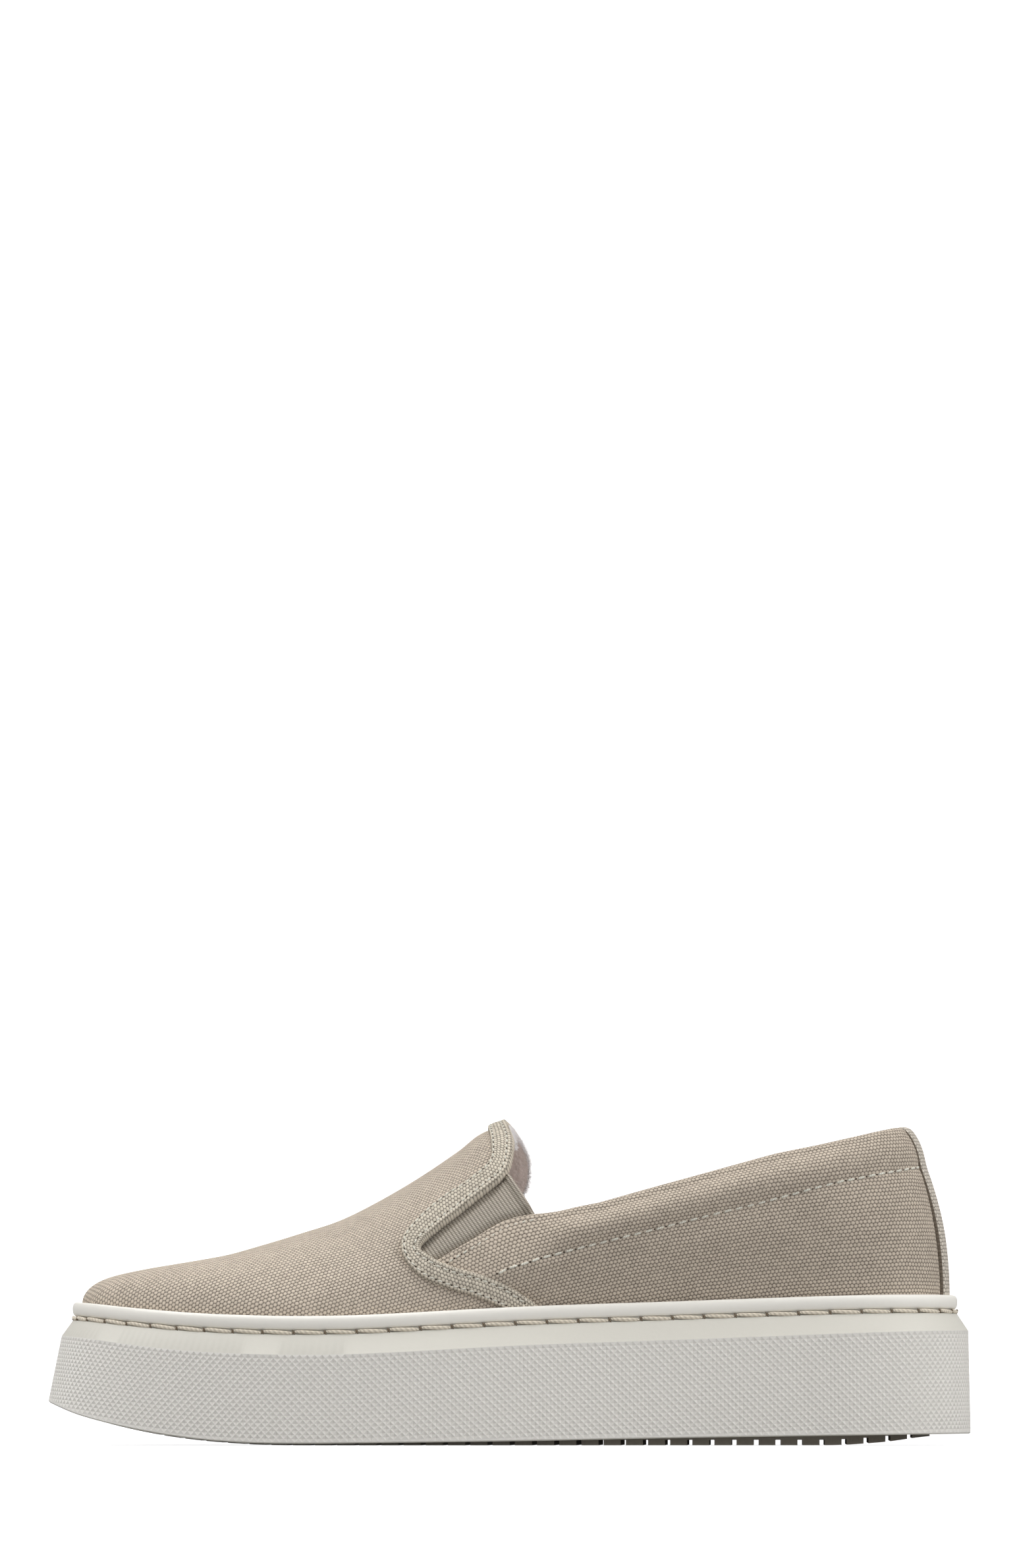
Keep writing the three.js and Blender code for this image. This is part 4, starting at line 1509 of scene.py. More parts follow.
@dataclass
class Sole:
    """The cupsole with its moulded wall, its bevel, the groove of its stitch and its round rim."""

    last: Last
    pitch: float = 1.12
    stud: float = 0.4
    stud_sink: float = 0.36
    chamfer: float = 0.35
    groove_drop: float = 4.2
    groove_height: float = 1.3
    groove_depth: float = 1.1
    cup_depth: float = 10.0
    tread_thickness: float = 5.0
    tread_edge: float = 3.5
    stitch: float = 9.4
    lean: float = 3.2

    bead_reach: float = 1.45
    bead_fullness: float = 0.65
    bead_rows: int = 11
    thread_inset: float = 0.42
    thread_radius: float = 0.62
    thread_height: float = 0.6
    thread_end: float = 0.62  # the power that thins a stitch towards its ends
    nick: tuple[float, float, float] = (0.95, 0.22, 0.2)
    nick_lean: float = 28
    nick_out: float = 0.28

    edges = Table(
        ("along", "edge"),
        (
            (0, 4.2),
            (0.04, 3.4),
            (0.1, 2),
            (0.16, 1.2),
            (0.22, 1),
            (0.66, 1),
            (0.84, 1.4),
            (0.9, 2),
            (0.945, 2.7),
            (1, 3.4),
        ),
    )

    def __post_init__(self) -> None:
        """Spaces the columns evenly round the outline, an even number of them."""
        fine = np.linspace(0, self.last.spans, 4001)
        length = running(self.last.edge(fine))
        self.count = 2 * round(length[-1] / self.pitch / 2)
        self.columns = np.interp(np.arange(self.count + 1) / self.count * length[-1], length, fine)

    def ring(self, inset: np.ndarray, rise: Callable[[np.ndarray], np.ndarray], by: float = 0) -> np.ndarray:
        """A ring of points round the sole at an inset, with a length added to their height at an X."""
        flat = self.last.inset(self.columns, inset)
        return np.concatenate([flat, (rise(flat[:, 0]) + by)[:, None]], 1)

    def spine(self, rise: Callable[[np.ndarray], np.ndarray], by: float = 0) -> np.ndarray:
        """The line along the middle that closes a ring, at a height as for a ring.

        Args:
            rise: The height at an X.
            by: A length that is added to the height.

        Returns:
            The points.
        """
        ring = self.last.inset(self.columns, 20)
        middle = (ring + ring[::-1]) / 2
        return np.concatenate([middle, (rise(middle[:, 0]) + by)[:, None]], 1)

    def rim(self, x: np.ndarray) -> np.ndarray:
        """The height of the rim's top."""
        return self.last.side("rim", x)

    def _lip(self, x: np.ndarray) -> np.ndarray:
        """The height of the lip round the tread."""
        return self.last.side("lip", x)

    def _ceiling(self, x: np.ndarray) -> np.ndarray:
        """The height of the recess for the tread."""
        return self.last.side("spring", x) + self.tread_thickness + self.last.gap

    def wall_top(self, x: np.ndarray) -> np.ndarray:
        """The height of the moulded wall's top."""
        edge = self.edges.read("edge", self.last.along(x))
        return self.rim(x) - self.last.wall_drop + 0.35 * (edge - 1)

    def build(self, wall: Material, plain: Material, bead: Material) -> Object:
        """Makes the cupsole.

        Args:
            wall: The finish of the moulded wall.
            plain: The finish of the smooth parts.
            bead: The finish of the rim, a lighter copy of the rubber as painted light.

        Returns:
            The piece.
        """
        last, columns = self.last, self.columns
        bevel, rim_in = last.bevel_inset(columns), last.rim_inset(columns)
        tread_in = self.tread_edge * self.edges.read("edge", last.along(last.edge(columns)[:, 0]))
        rings = [
            self.spine(self._ceiling),
            self.ring(tread_in, self._ceiling),
            self.ring(tread_in, self._lip),
            self.ring(self.chamfer, self._lip),
        ]
        first = len(rings)
        rings += self._wall()
        cut = len(rings) - 1
        low = -self.groove_drop - self.groove_height
        rings.append(self.ring(bevel + 0.15, self.rim, low))
        rings.append(self.ring(bevel + 0.5, self.rim, low + 0.08))
        rings.append(self.ring(bevel + self.groove_depth, self.rim, low))
        rings.append(self.ring(bevel + self.groove_depth, self.rim, -self.groove_drop))
        above = len(rings)
        half = self.groove_drop / 2
        for turn in np.linspace(-math.pi / 2, math.pi / 2, self.bead_rows):
            reach = self.bead_reach * (1 - max(math.cos(turn), 0) ** self.bead_fullness)
            rings.append(self.ring(bevel + reach, self.rim, half * (math.sin(turn) - 1)))
        rings.append(self.ring(rim_in, self.rim, -0.05))
        rings.append(self.ring(rim_in, self.rim, -self.cup_depth))
        rings.append(self.spine(self.rim, -self.cup_depth))
        piece = Bench.sheet("cupsole_shell", np.array(rings))
        row, column = np.divmod(np.arange(len(piece.data.polygons)), len(columns) - 1)
        studded = (row >= first) & (row < cut)
        Bench.paint(piece, studded + 2 * (row >= above))
        self._cut(piece, np.where(studded, 1 + (row + column + cut) % 2, 0))
        return Bench.finish(piece, 24, Slot.CUPSOLE, plain, wall, bead)

    def _wall(self) -> list[np.ndarray]:
        """The rings of the wall from its foot to its head, every second point of them raised into a stud.

        Returns:
            The rings.
        """
        last, columns = self.last, self.columns
        flare = last.sides.read("flare", last.along(last.edge(columns)[:, 0])) * last.wall_drop
        foot, head = self.ring(0, self._lip, self.chamfer), self.ring(flare, self.wall_top)
        height = np.linalg.norm(head - foot, axis=1)
        out = np.concatenate([last.out(columns), np.zeros((len(columns), 1))], 1)
        parity = np.arange(len(columns)) % 2
        rings = []
        for row in range(math.ceil(height.max() / self.pitch), -1, -1):
            down = np.minimum(row * self.pitch, height)
            line = head + (foot - head) * (down / height)[:, None]
            left = np.clip((height - down) / self.pitch, 0, 1) * (row > 0)
            push = (self.stud * ((parity + row) % 2 == 0) - self.stud_sink) * left
            rings.append(line + out * push[:, None])
        return rings

    @staticmethod
    def _cut(piece: Object, ways: np.ndarray) -> None:
        """Cuts the wall's quads along alternate diagonals, so that the studs are all alike.

        Args:
            piece: The cupsole.
            ways: For each face, 0 to leave it, 1 for one diagonal and 2 for the other.
        """
        marks = piece.data.attributes.new("cut", "INT", "FACE")
        marks.data.foreach_set("value", ways.astype(np.int32))
        Bench.only(piece)
        for way, method in ((1, "FIXED"), (2, "FIXED_ALTERNATE")):
            values = np.zeros(len(piece.data.polygons), np.int32)
            piece.data.attributes["cut"].data.foreach_get("value", values)
            bpy.ops.object.mode_set(mode="EDIT")
            bpy.ops.mesh.select_mode(type="FACE")
            bpy.ops.mesh.select_all(action="DESELECT")
            bpy.ops.object.mode_set(mode="OBJECT")
            piece.data.polygons.foreach_set("select", values == way)
            bpy.ops.object.mode_set(mode="EDIT")
            bpy.ops.mesh.quads_convert_to_tris(quad_method=method, ngon_method="BEAUTY")
            bpy.ops.object.mode_set(mode="OBJECT")
        piece.data.attributes.remove(piece.data.attributes["cut"])

    def thread(self, cord: Material, hole: Material) -> None:
        """Makes the thick stitches in the groove, and between two of them a dark nick, painted shade where the thread
        goes into the rubber.

        Args:
            cord: The thread's finish.
            hole: The finish of the nicks, painted shade.
        """
        columns = np.linspace(0, self.last.spans, 3000)
        flat = self.last.inset(columns, self.last.bevel_inset(columns) + self.thread_inset)
        z = self.rim(flat[:, 0]) - self.groove_drop - self.groove_height / 2
        path = np.concatenate([flat, z[:, None]], 1)
        line = evenly(path, round(length_of(path) / self.stitch) * 2 + 1)
        ahead = unit(line[2::2] - line[:-2:2])
        out = unit(np.cross(ahead, (0, 0, 1.0)))
        up = np.cross(out, ahead)
        lean = math.radians(self.lean)
        leaning = ahead * math.cos(lean) - up * math.sin(lean)
        axes = np.stack([leaning, out, np.cross(out, leaning)], 1)
        pattern = Bench.ball(10, 12, (1, 1, 1))
        x, y, z = Bench.corners(pattern).T
        bulk, turn = np.hypot(x, y) ** self.thread_end, np.arctan2(y, x)
        across = np.cos(turn) * bulk * self.thread_radius, np.sin(turn) * bulk * self.thread_height
        Bench.move(pattern, np.stack([z * self.stitch * 0.5, *across], 1))
        # Painted shade: each stitch darkens towards its ends, where it goes into the rubber.
        tone = smooth(1.0, 0.86, np.abs(z))
        Bench.copies("sole_thread", pattern, line[1::2], axes, Slot.CUPSOLE, cord, tone)
        # Painted shade: a dark flat nick between two stitches stands for the shadowed hole of the thread.
        lean = math.radians(self.nick_lean)
        slanted = up * math.cos(lean) - ahead * math.sin(lean)
        axes = np.stack([slanted, out, np.cross(slanted, out)], 1)
        places = line[::2][:-1] + out * self.nick_out
        Bench.copies("sole_stitch_holes", Bench.ball(8, 6, self.nick), places, axes, Slot.CUPSOLE, hole)


@dataclass
class Footbed:
    """The padded footbed in the cup."""

    sole: Sole
    clear: float = 3.0
    lift: float = 0.4
    thickness: float = 4.3
    rounding: float = 1.6

    def build(self, lining: Material) -> Object:
        """Makes the footbed.

        Args:
            lining: The lining's finish.

        Returns:
            The piece.
        """
        sole, last = self.sole, self.sole.last
        inset = last.rim_inset(sole.columns) + self.clear
        floor = self.lift - sole.cup_depth
        spine = sole.spine(sole.rim, floor)
        rings = [spine, sole.ring(inset, sole.rim, floor)]
        for turn in np.linspace(0, math.pi / 2, 6):
            rise = self.thickness - self.rounding + self.rounding * math.sin(turn)
            rings.append(sole.ring(inset + self.rounding * (1 - math.cos(turn)), sole.rim, floor + rise))
        edge = rings[-1]
        for share in np.linspace(0, 1, 14)[1:]:
            rings.append(edge * (1 - share) + (spine + np.array([0, 0, self.thickness])) * share)
        piece = Bench.sheet("footbed", np.array(rings)[:, ::2])
        Bench.weld(piece)
        Bench.shade(piece, 60)
        return Bench.dress(piece, Slot.LINING, lining)


@dataclass
class Stitching:
    """Rows of thread on the surface of the upper."""

    thread: Material
    hole: Material
    pitch: float = 3.5
    length: float = 2.9
    radius: float = 0.34
    lift: float = 0.14
    slant: float = 4
    opening: float = 0.3
    hole_depth: float = 0.14

    def row(self, name: str, line: np.ndarray, normals: np.ndarray, slot: Slot) -> Object:
        """Lays stitches along a line.

        Args:
            name: The piece's name.
            line: The line's points.
            normals: The outward direction at each point.
            slot: The material slot.

        Returns:
            The joined stitches.
        """
        count = max(round(length_of(line) / self.pitch), 2)
        both, length = np.hstack([line, normals]), running(line)
        share = (np.arange(count) + 0.5) / count
        middle = read_line(both, length, share * length[-1])
        reach = self.length / 2 / length[-1]
        after, before = (read_line(line, length, (share + step) * length[-1]) for step in (reach, -reach))
        along = unit(after - before)
        normal = unit(middle[:, 3:] - (middle[:, 3:] * along).sum(1, keepdims=True) * along)
        across = np.cross(normal, along)
        self._holes(name, read_line(both, length, np.arange(count + 1) / count * length[-1]), slot)
        turn = math.radians(self.slant)
        leaning = along * math.cos(turn) + across * math.sin(turn)
        axes = np.stack([leaning, across * math.cos(turn) - along * math.sin(turn), normal], 1)
        bpy.ops.mesh.primitive_cylinder_add(vertices=8, radius=1, depth=2, end_fill_type="TRIFAN")
        pattern = bpy.context.active_object
        for level in (0.5, -0.5, 0.82, -0.82):
            Bench.edit(pattern, (bpy.ops.mesh.bisect, {"plane_co": (0, 0, level), "plane_no": (0, 0, 1)}))
        x, y, z = Bench.corners(pattern).T
        taper = np.sqrt(np.clip(1.02 - z**4, 0.05, 1)) * self.radius
        sag = self.lift - self.radius * 1.5 * np.abs(z) ** 3
        Bench.move(pattern, np.stack([z * self.length / 2, x * taper * 1.05, y * taper + sag], 1))
        # Painted shade: each stitch darkens towards its ends, where it goes into the cloth.
        tone = smooth(1.02, 0.7, np.abs(z))
        return Bench.copies(name, pattern, middle[:, :3], axes, slot, self.thread, tone)

    def _holes(self, name: str, ends: np.ndarray, slot: Slot) -> None:
        """Makes small dark blobs where the stitches go into the cloth, painted shade of their holes.

        Args:
            name: The name of the row of stitches.
            ends: The holes' places and outward directions, side by side.
            slot: The material slot.
        """
        along = unit(np.gradient(ends[:, :3], axis=0))
        normal = unit(ends[:, 3:])
        axes = np.stack([along, np.cross(normal, along), normal], 1)
        # Painted shade: a flat dark blob on the surface stands for the shadowed hole.
        pattern = Bench.ball(8, 4, (self.opening * 1.15, self.opening, self.hole_depth))
        Bench.copies(f"{name}_holes", pattern, ends[:, :3] + normal * 0.02, axes, slot, self.hole)


@dataclass
class Nap:
    """The fluff of the lining along the throat."""

    band: Binding
    seed: int = 7
    hairs: int = 1600
    lateral_reach: float = 20
    medial_reach: float = 34
    length: float = 1.3
    radius: float = 0.06
    depths: tuple[float, float] = (0.9, 2.6)  # how far under the cloth the roots lie
    setbacks: tuple[float, float] = (0.1, 0.8)  # and how far behind its edge
    forward: float = 0.8
    inward: float = 0.25
    unruly: float = 0.55

    def build(self, fluff: Material) -> Object:
        """Makes the fluff.

        Args:
            fluff: The fluff's finish.

        Returns:
            The piece.
        """
        chance = np.random.default_rng(self.seed)
        points, normals, _, length = self.band.stations()
        top = length[-1] / 2
        place = top + chance.uniform(-self.lateral_reach, self.medial_reach, self.hairs)
        both = np.hstack([points[:, -1], normals[:, -1], unit(points[:, -1] - points[:, 0])])
        here = read_line(both, length, place)
        edge, out, ahead = here[:, :3], unit(here[:, 3:6]), unit(here[:, 6:])
        depth = chance.uniform(*self.depths, self.hairs)[:, None]
        root = edge - out * depth - ahead * chance.uniform(*self.setbacks, self.hairs)[:, None]
        lean = unit(ahead * self.forward - out * self.inward + chance.normal(0, self.unruly, (self.hairs, 3)))
        beside = unit(np.cross(lean, chance.normal(0, 1, (self.hairs, 3))))
        axes = np.stack([beside, np.cross(lean, beside), lean], 1)
        size = {"radius1": self.radius, "radius2": self.radius * 0.3, "depth": self.length}
        bpy.ops.mesh.primitive_cone_add(vertices=4, **size)
        pattern = bpy.context.active_object
        Bench.only(pattern)
        bpy.ops.transform.translate(value=(0, 0, self.length / 2))
        bpy.ops.object.transform_apply(location=True)
        return Bench.copies("lining_fluff", pattern, root, axes, Slot.LINING, fluff)


@dataclass
class Graph:
    """Builds the nodes of a material or of a group."""

    tree: NodeTree
    made: Material | None = None

    @classmethod
    def start(cls, name: str) -> "Graph":
        """Starts a material.

        Args:
            name: The material's name.

        Returns:
            The graph of its nodes.
        """
        made = bpy.data.materials.new(name)
        made.use_nodes = True
        return cls(made.node_tree, made)

    @classmethod
    def group(
        cls, name: str, takes: dict[str, str], rule: Callable[["Graph", Sockets], Pair]
    ) -> NodeTree:
        """Gets a node group with the outputs Tone and Height. It is built when it is first asked for.

        Args:
            name: The group's name.
            takes: The kind of each input, by its name.
            rule: Adds the nodes, given the graph and the inputs, and returns what the outputs put out.

        Returns:
            The group.
        """
        if name in bpy.data.node_groups:
            return bpy.data.node_groups[name]
        tree = bpy.data.node_groups.new(name, "ShaderNodeTree")
        for key, kind in takes.items():
            tree.interface.new_socket(key, in_out="INPUT", socket_type=kind)
        for key in ("Tone", "Height"):
            tree.interface.new_socket(key, in_out="OUTPUT", socket_type=FLOAT)
        graph = cls(tree)
        tone, height = rule(graph, graph.node("NodeGroupInput").outputs)
        graph.node("NodeGroupOutput", {"Tone": tone, "Height": height})
        return tree

    @property
    def shader(self) -> Node:
        """The material's shader."""
        return self.tree.nodes["Principled BSDF"]

    def placed(self, group: NodeTree, **takes: object) -> Sockets:
        """Places a group with its own values and returns its outputs."""
        return self.node("ShaderNodeGroup", takes, node_tree=group).outputs

    def finish(self, colour: Socket, height: Socket, depth: float, roughness: float) -> Material:
        """Feeds the shader.

        Args:
            colour: The colour.
            height: The relief, from 0 to 1.
            depth: The relief's depth in millimetres.
            roughness: The roughness.

        Returns:
            The material.
        """
        relief = {"Height": height, "Distance": depth * MM, "Strength": 1.0}
        self.tree.links.new(colour, self.shader.inputs["Base Color"])
        self.tree.links.new(self.node("ShaderNodeBump", relief).outputs[0], self.shader.inputs["Normal"])
        self.shader.inputs["Roughness"].default_value = roughness
        return self.made

    def node(self, kind: str, links: dict | None = None, **settings: object) -> Node:
        """Adds a node.

        Args:
            kind: The node's type.
            links: For each input, a socket to link from or a value.
            settings: The node's own properties.

        Returns:
            The new node.
        """
        made = self.tree.nodes.new(kind)
        for key, value in settings.items():
            setattr(made, key, value)
        for key, value in (links or {}).items():
            if isinstance(value, Socket):
                self.tree.links.new(value, made.inputs[key])
            else:
                made.inputs[key].default_value = value
        return made

    def maths(self, operation: str, a: object, b: object = 0.0, c: object = 0.0) -> Socket:
        """Adds a calculation and returns its result."""
        return self.node("ShaderNodeMath", {0: a, 1: b, 2: c}, operation=operation).outputs[0]

    def sway(self, value: object, share: object, base: object) -> Socket:
        """Adds a share of how far a value is from a half."""
        return self.maths("MULTIPLY_ADD", self.maths("SUBTRACT", value, 0.5), share, base)

    def wave(self, value: object, period: float) -> Socket:
        """Turns a value into a wave between 0 and 1."""
        turn = self.maths("MULTIPLY", value, TAU / period)
        return self.maths("MULTIPLY_ADD", self.maths("COSINE", turn), 0.5, 0.5)

    def clamped(self, value: object) -> Socket:
        """Keeps a value between 0 and 1."""
        return self.node("ShaderNodeClamp", {"Value": value}).outputs[0]

    def vector(self, operation: str, a: object, b: object = (0, 0, 0)) -> Socket:
        """Adds a calculation with vectors and returns its result."""
        made = self.node("ShaderNodeVectorMath", {0: a, 1: b}, operation=operation)
        return made.outputs["Value" if operation == "DOT_PRODUCT" else "Vector"]

    def uv(self) -> Socket:
        """The cloth's own coordinates."""
        return self.node("ShaderNodeUVMap", uv_map="UVMap").outputs[0]

    def noise(self, vector: Socket, scale: object, detail: float = 2) -> Socket:
        """Adds a noise and returns its value."""
        return self.node("ShaderNodeTexNoise", {"Vector": vector, "Scale": scale, "Detail": detail}).outputs[0]

    def mixed(self, share: object, a: object, b: object) -> Socket:
        """Mixes two colours.

        Args:
            share: The share of the second colour.
            a: The first colour.
            b: The second colour.

        Returns:
            The mixed colour.
        """
        made = self.node("ShaderNodeMix", {"Factor": share}, data_type="RGBA")
        for socket, value in ((made.inputs[6], a), (made.inputs[7], b)):
            if isinstance(value, Socket):
                self.tree.links.new(value, socket)
            else:
                socket.default_value = (*value, 1)
        return made.outputs[2]


def linear(red: int, green: int, blue: int) -> Colour:
    """A colour of the screen as a linear one."""
    return tuple(((c / 255 + 0.055) / 1.055) ** 2.4 for c in (red, green, blue))


@dataclass(frozen=True)
class Canvas:
    """A coarse canvas: rows of rounded thread ends set like bricks, in its own millimetres, with painted shade in the
    gaps between the ends.
    """

    name: str
    # light colours the tops of the thread ends; dark is painted shade in the gaps between them
    light: Colour
    dark: Colour
    pitch: float = 1.23
    row: float = 1.07
    depth: float = 0.4
    variety: float = 0.14
    narrow: float = 1.74
    low: float = 3.2
    wander: float = 0.7
    edge: float = 0.0  # how far from the middle the cloth's edge is folded under, where a band is painted dark as the shade of its seam, or 0
    seam_shade_width: float = 0.35

    def material(self) -> Material:
        """Makes the material.

        Returns:
            The material.
        """
        graph = Graph.start(self.name)
        uv = graph.uv()
        takes = {"Place": VECTOR, "Repeat": VECTOR, "Shape": VECTOR, "Wander": FLOAT, "Variety": FLOAT}
        weave = graph.placed(
            Graph.group("weave", takes, self._weave),
            Place=uv,
            Repeat=(self.pitch, 2 * self.row, 1),
            Shape=(self.narrow, self.low, 0),
            Wander=self.wander,
            Variety=self.variety,
        )
        # Painted shade: the gaps between the thread ends take the dark colour.
        colour = graph.mixed(weave["Tone"], self.dark, self.light)
        # Painted shade: a dark band along the folded edges stands for the shade of the seam.
        if self.edge:
            across = graph.maths("ABSOLUTE", graph.node("ShaderNodeSeparateXYZ", {0: uv}).outputs[0])
            under = graph.maths("GREATER_THAN", across, self.edge - self.seam_shade_width)
            colour = graph.mixed(under, colour, tuple(1.1 * c for c in self.dark))
        graph.shader.inputs["Specular IOR Level"].default_value = 0.25
        return graph.finish(colour, weave["Height"], self.depth, 0.92)

    @classmethod
    def _weave(cls, graph: Graph, given: Sockets) -> Pair:
        """Adds the nodes of the weave.

        Args:
            graph: The group's nodes.
            given: Its inputs.

        Returns:
            How light the cloth is, darker in the gaps between the ends as painted shade, and its relief.
        """
        place = given["Place"]
        drift = graph.node("ShaderNodeTexNoise", {"Vector": place, "Scale": 0.12, "Detail": 2}).outputs[1]
        drift = {0: graph.vector("SUBTRACT", drift, (0.5, 0.5, 0.5)), "Scale": given["Wander"]}
        shift = graph.node("ShaderNodeVectorMath", drift, operation="SCALE").outputs[0]
        cells = graph.vector("DIVIDE", graph.vector("ADD", place, shift), given["Repeat"])
        first, second = (cls._ends(graph, cells, at, given["Shape"]) for at in (0, 0.5))
        dome = graph.maths("MAXIMUM", first[0], second[0])
        over = graph.maths("GREATER_THAN", second[0], first[0])
        own = graph.maths("MULTIPLY_ADD", over, graph.maths("SUBTRACT", second[1], first[1]), first[1])
        fibre = graph.noise(graph.vector("MULTIPLY", place, (5.0, 1.2, 1)), 1.3, 3)
        tone = graph.sway(own, given["Variety"], dome)
        tone = graph.sway(fibre, 0.35, tone)
        tone = graph.sway(graph.noise(place, 0.06, 3), 0.12, tone)
        height = graph.maths("MULTIPLY_ADD", own, 0.15, graph.sway(fibre, 0.3, dome))
        return graph.clamped(tone), height

    @staticmethod
    def _ends(graph: Graph, cells: Socket, at: float, shape: Socket) -> Pair:
        """One of the two sets of thread ends.

        Args:
            graph: The group's nodes.
            cells: The cloth's coordinates, in repeats.
            at: Where in its repeat the set lies.
            shape: How narrow and how low the ends are.

        Returns:
            The height of the rounded ends, and a chance value for each.
        """
        moved = graph.vector("ADD", cells, (at, at, 0))
        within = graph.vector("SUBTRACT", graph.vector("FRACTION", moved), (0.5, 0.5, 0.0))
        within = graph.vector("MULTIPLY", within, shape)
        far = graph.vector("DOT_PRODUCT", within, within)
        dome = graph.maths("SQRT", graph.maths("MAXIMUM", graph.maths("SUBTRACT", 1.0, far), 0.0))
        number = graph.vector("ADD", graph.vector("FLOOR", moved), (at, at, at))
        return dome, graph.node("ShaderNodeTexWhiteNoise", {"Vector": number}).outputs[0]


@dataclass(frozen=True)
class Elastic:
    """Woven elastic: fine ribs cut into short dashes, in its own millimetres, darker between them as painted shade.
    """

    name: str
    light: Colour
    dark: Colour
    rib: float = 0.53
    dash: float = 1.05
    skew: float = 0.25
    depth: float = 0.2

    def material(self) -> Material:
        """Makes the material.

        Returns:
            The material.
        """
        graph = Graph.start(self.name)
        uv = graph.uv()
        parts = graph.node("ShaderNodeSeparateXYZ", {0: uv}).outputs
        rib = graph.wave(parts[1], self.rib)
        dash = graph.wave(graph.maths("MULTIPLY_ADD", parts[1], self.skew, parts[0]), self.dash)
        deep = graph.maths("MULTIPLY_ADD", rib, 0.7, 0.3)
        height = graph.maths("MULTIPLY", graph.maths("POWER", dash, 0.5), deep)
        # Painted shade: the low places between the ribs and the dashes take the dark colour.
        tone = graph.clamped(graph.sway(graph.noise(uv, 2.0, 3), 0.4, height))
        return graph.finish(graph.mixed(tone, self.dark, self.light), height, self.depth, 0.85)


@dataclass(frozen=True)
class Thread:
    """Twisted thread, with painted shade between its strands and towards the ends where it goes into its holes."""

    name: str
    light: Colour
    dark: Colour
    turns: float = 7
    depth: float = 0.08

    def material(self) -> Material:
        """Makes the material.

        Returns:
            The material.
        """
        graph = Graph.start(self.name)
        # The tone attribute is painted shade: each stitch darkens towards its ends, where it goes into its hole.
        light = graph.node("ShaderNodeAttribute", attribute_name="tone").outputs["Fac"]
        group = Graph.group("twist", {"Place": VECTOR, "Light": FLOAT, "Turns": FLOAT}, self._twist)
        twist = graph.placed(group, Place=graph.uv(), Light=light, Turns=self.turns)
        colour = graph.mixed(twist["Tone"], self.dark, self.light)
        return graph.finish(colour, twist["Height"], self.depth, 0.75)

    @staticmethod
    def _twist(graph: Graph, given: Sockets) -> Pair:
        """Adds the nodes of the twist.

        Args:
            graph: The group's nodes.
            given: Its inputs.

        Returns:
            How light the thread is, with painted shade between the strands and at the ends, and its relief.
        """
        parts = graph.node("ShaderNodeSeparateXYZ", {0: given["Place"]}).outputs
        turn = graph.maths("MULTIPLY_ADD", parts[1], given["Turns"], graph.maths("MULTIPLY", parts[0], 2))
        wave = graph.maths("SINE", graph.maths("MULTIPLY", turn, TAU))
        strand = graph.maths("MULTIPLY_ADD", wave, 0.5, 0.5)
        tone = graph.maths("MULTIPLY_ADD", strand, 0.3, 0.7)
        return graph.maths("MULTIPLY", given["Light"], tone), strand


@dataclass(frozen=True)
class Plain:
    """A plain finish with a fine grain: rubber, nap or the painted shade of a hole."""

    name: str
    colour: Colour
    roughness: float = 0.6
    grain: float = 900
    depth: float = 0.03
    change: float = 0.08

    def material(self) -> Material:
        """Makes the material.

        Returns:
            The material.
        """
        graph = Graph.start(self.name)
        place = graph.node("ShaderNodeTexCoord").outputs["Object"]
        group = Graph.group("grain", {"Place": VECTOR, "Scale": FLOAT}, self._grain)
        grain = graph.placed(group, Place=place, Scale=self.grain)
        low = tuple(c * (1 - self.change) for c in self.colour)
        colour = graph.mixed(grain["Tone"], low, self.colour)
        return graph.finish(colour, grain["Height"], self.depth, self.roughness)

    @staticmethod
    def _grain(graph: Graph, given: Sockets) -> Pair:
        """Adds the nodes of the grain: one noise for how light it is and for its relief."""
        noise = graph.noise(given["Place"], given["Scale"], 3)
        return noise, noise


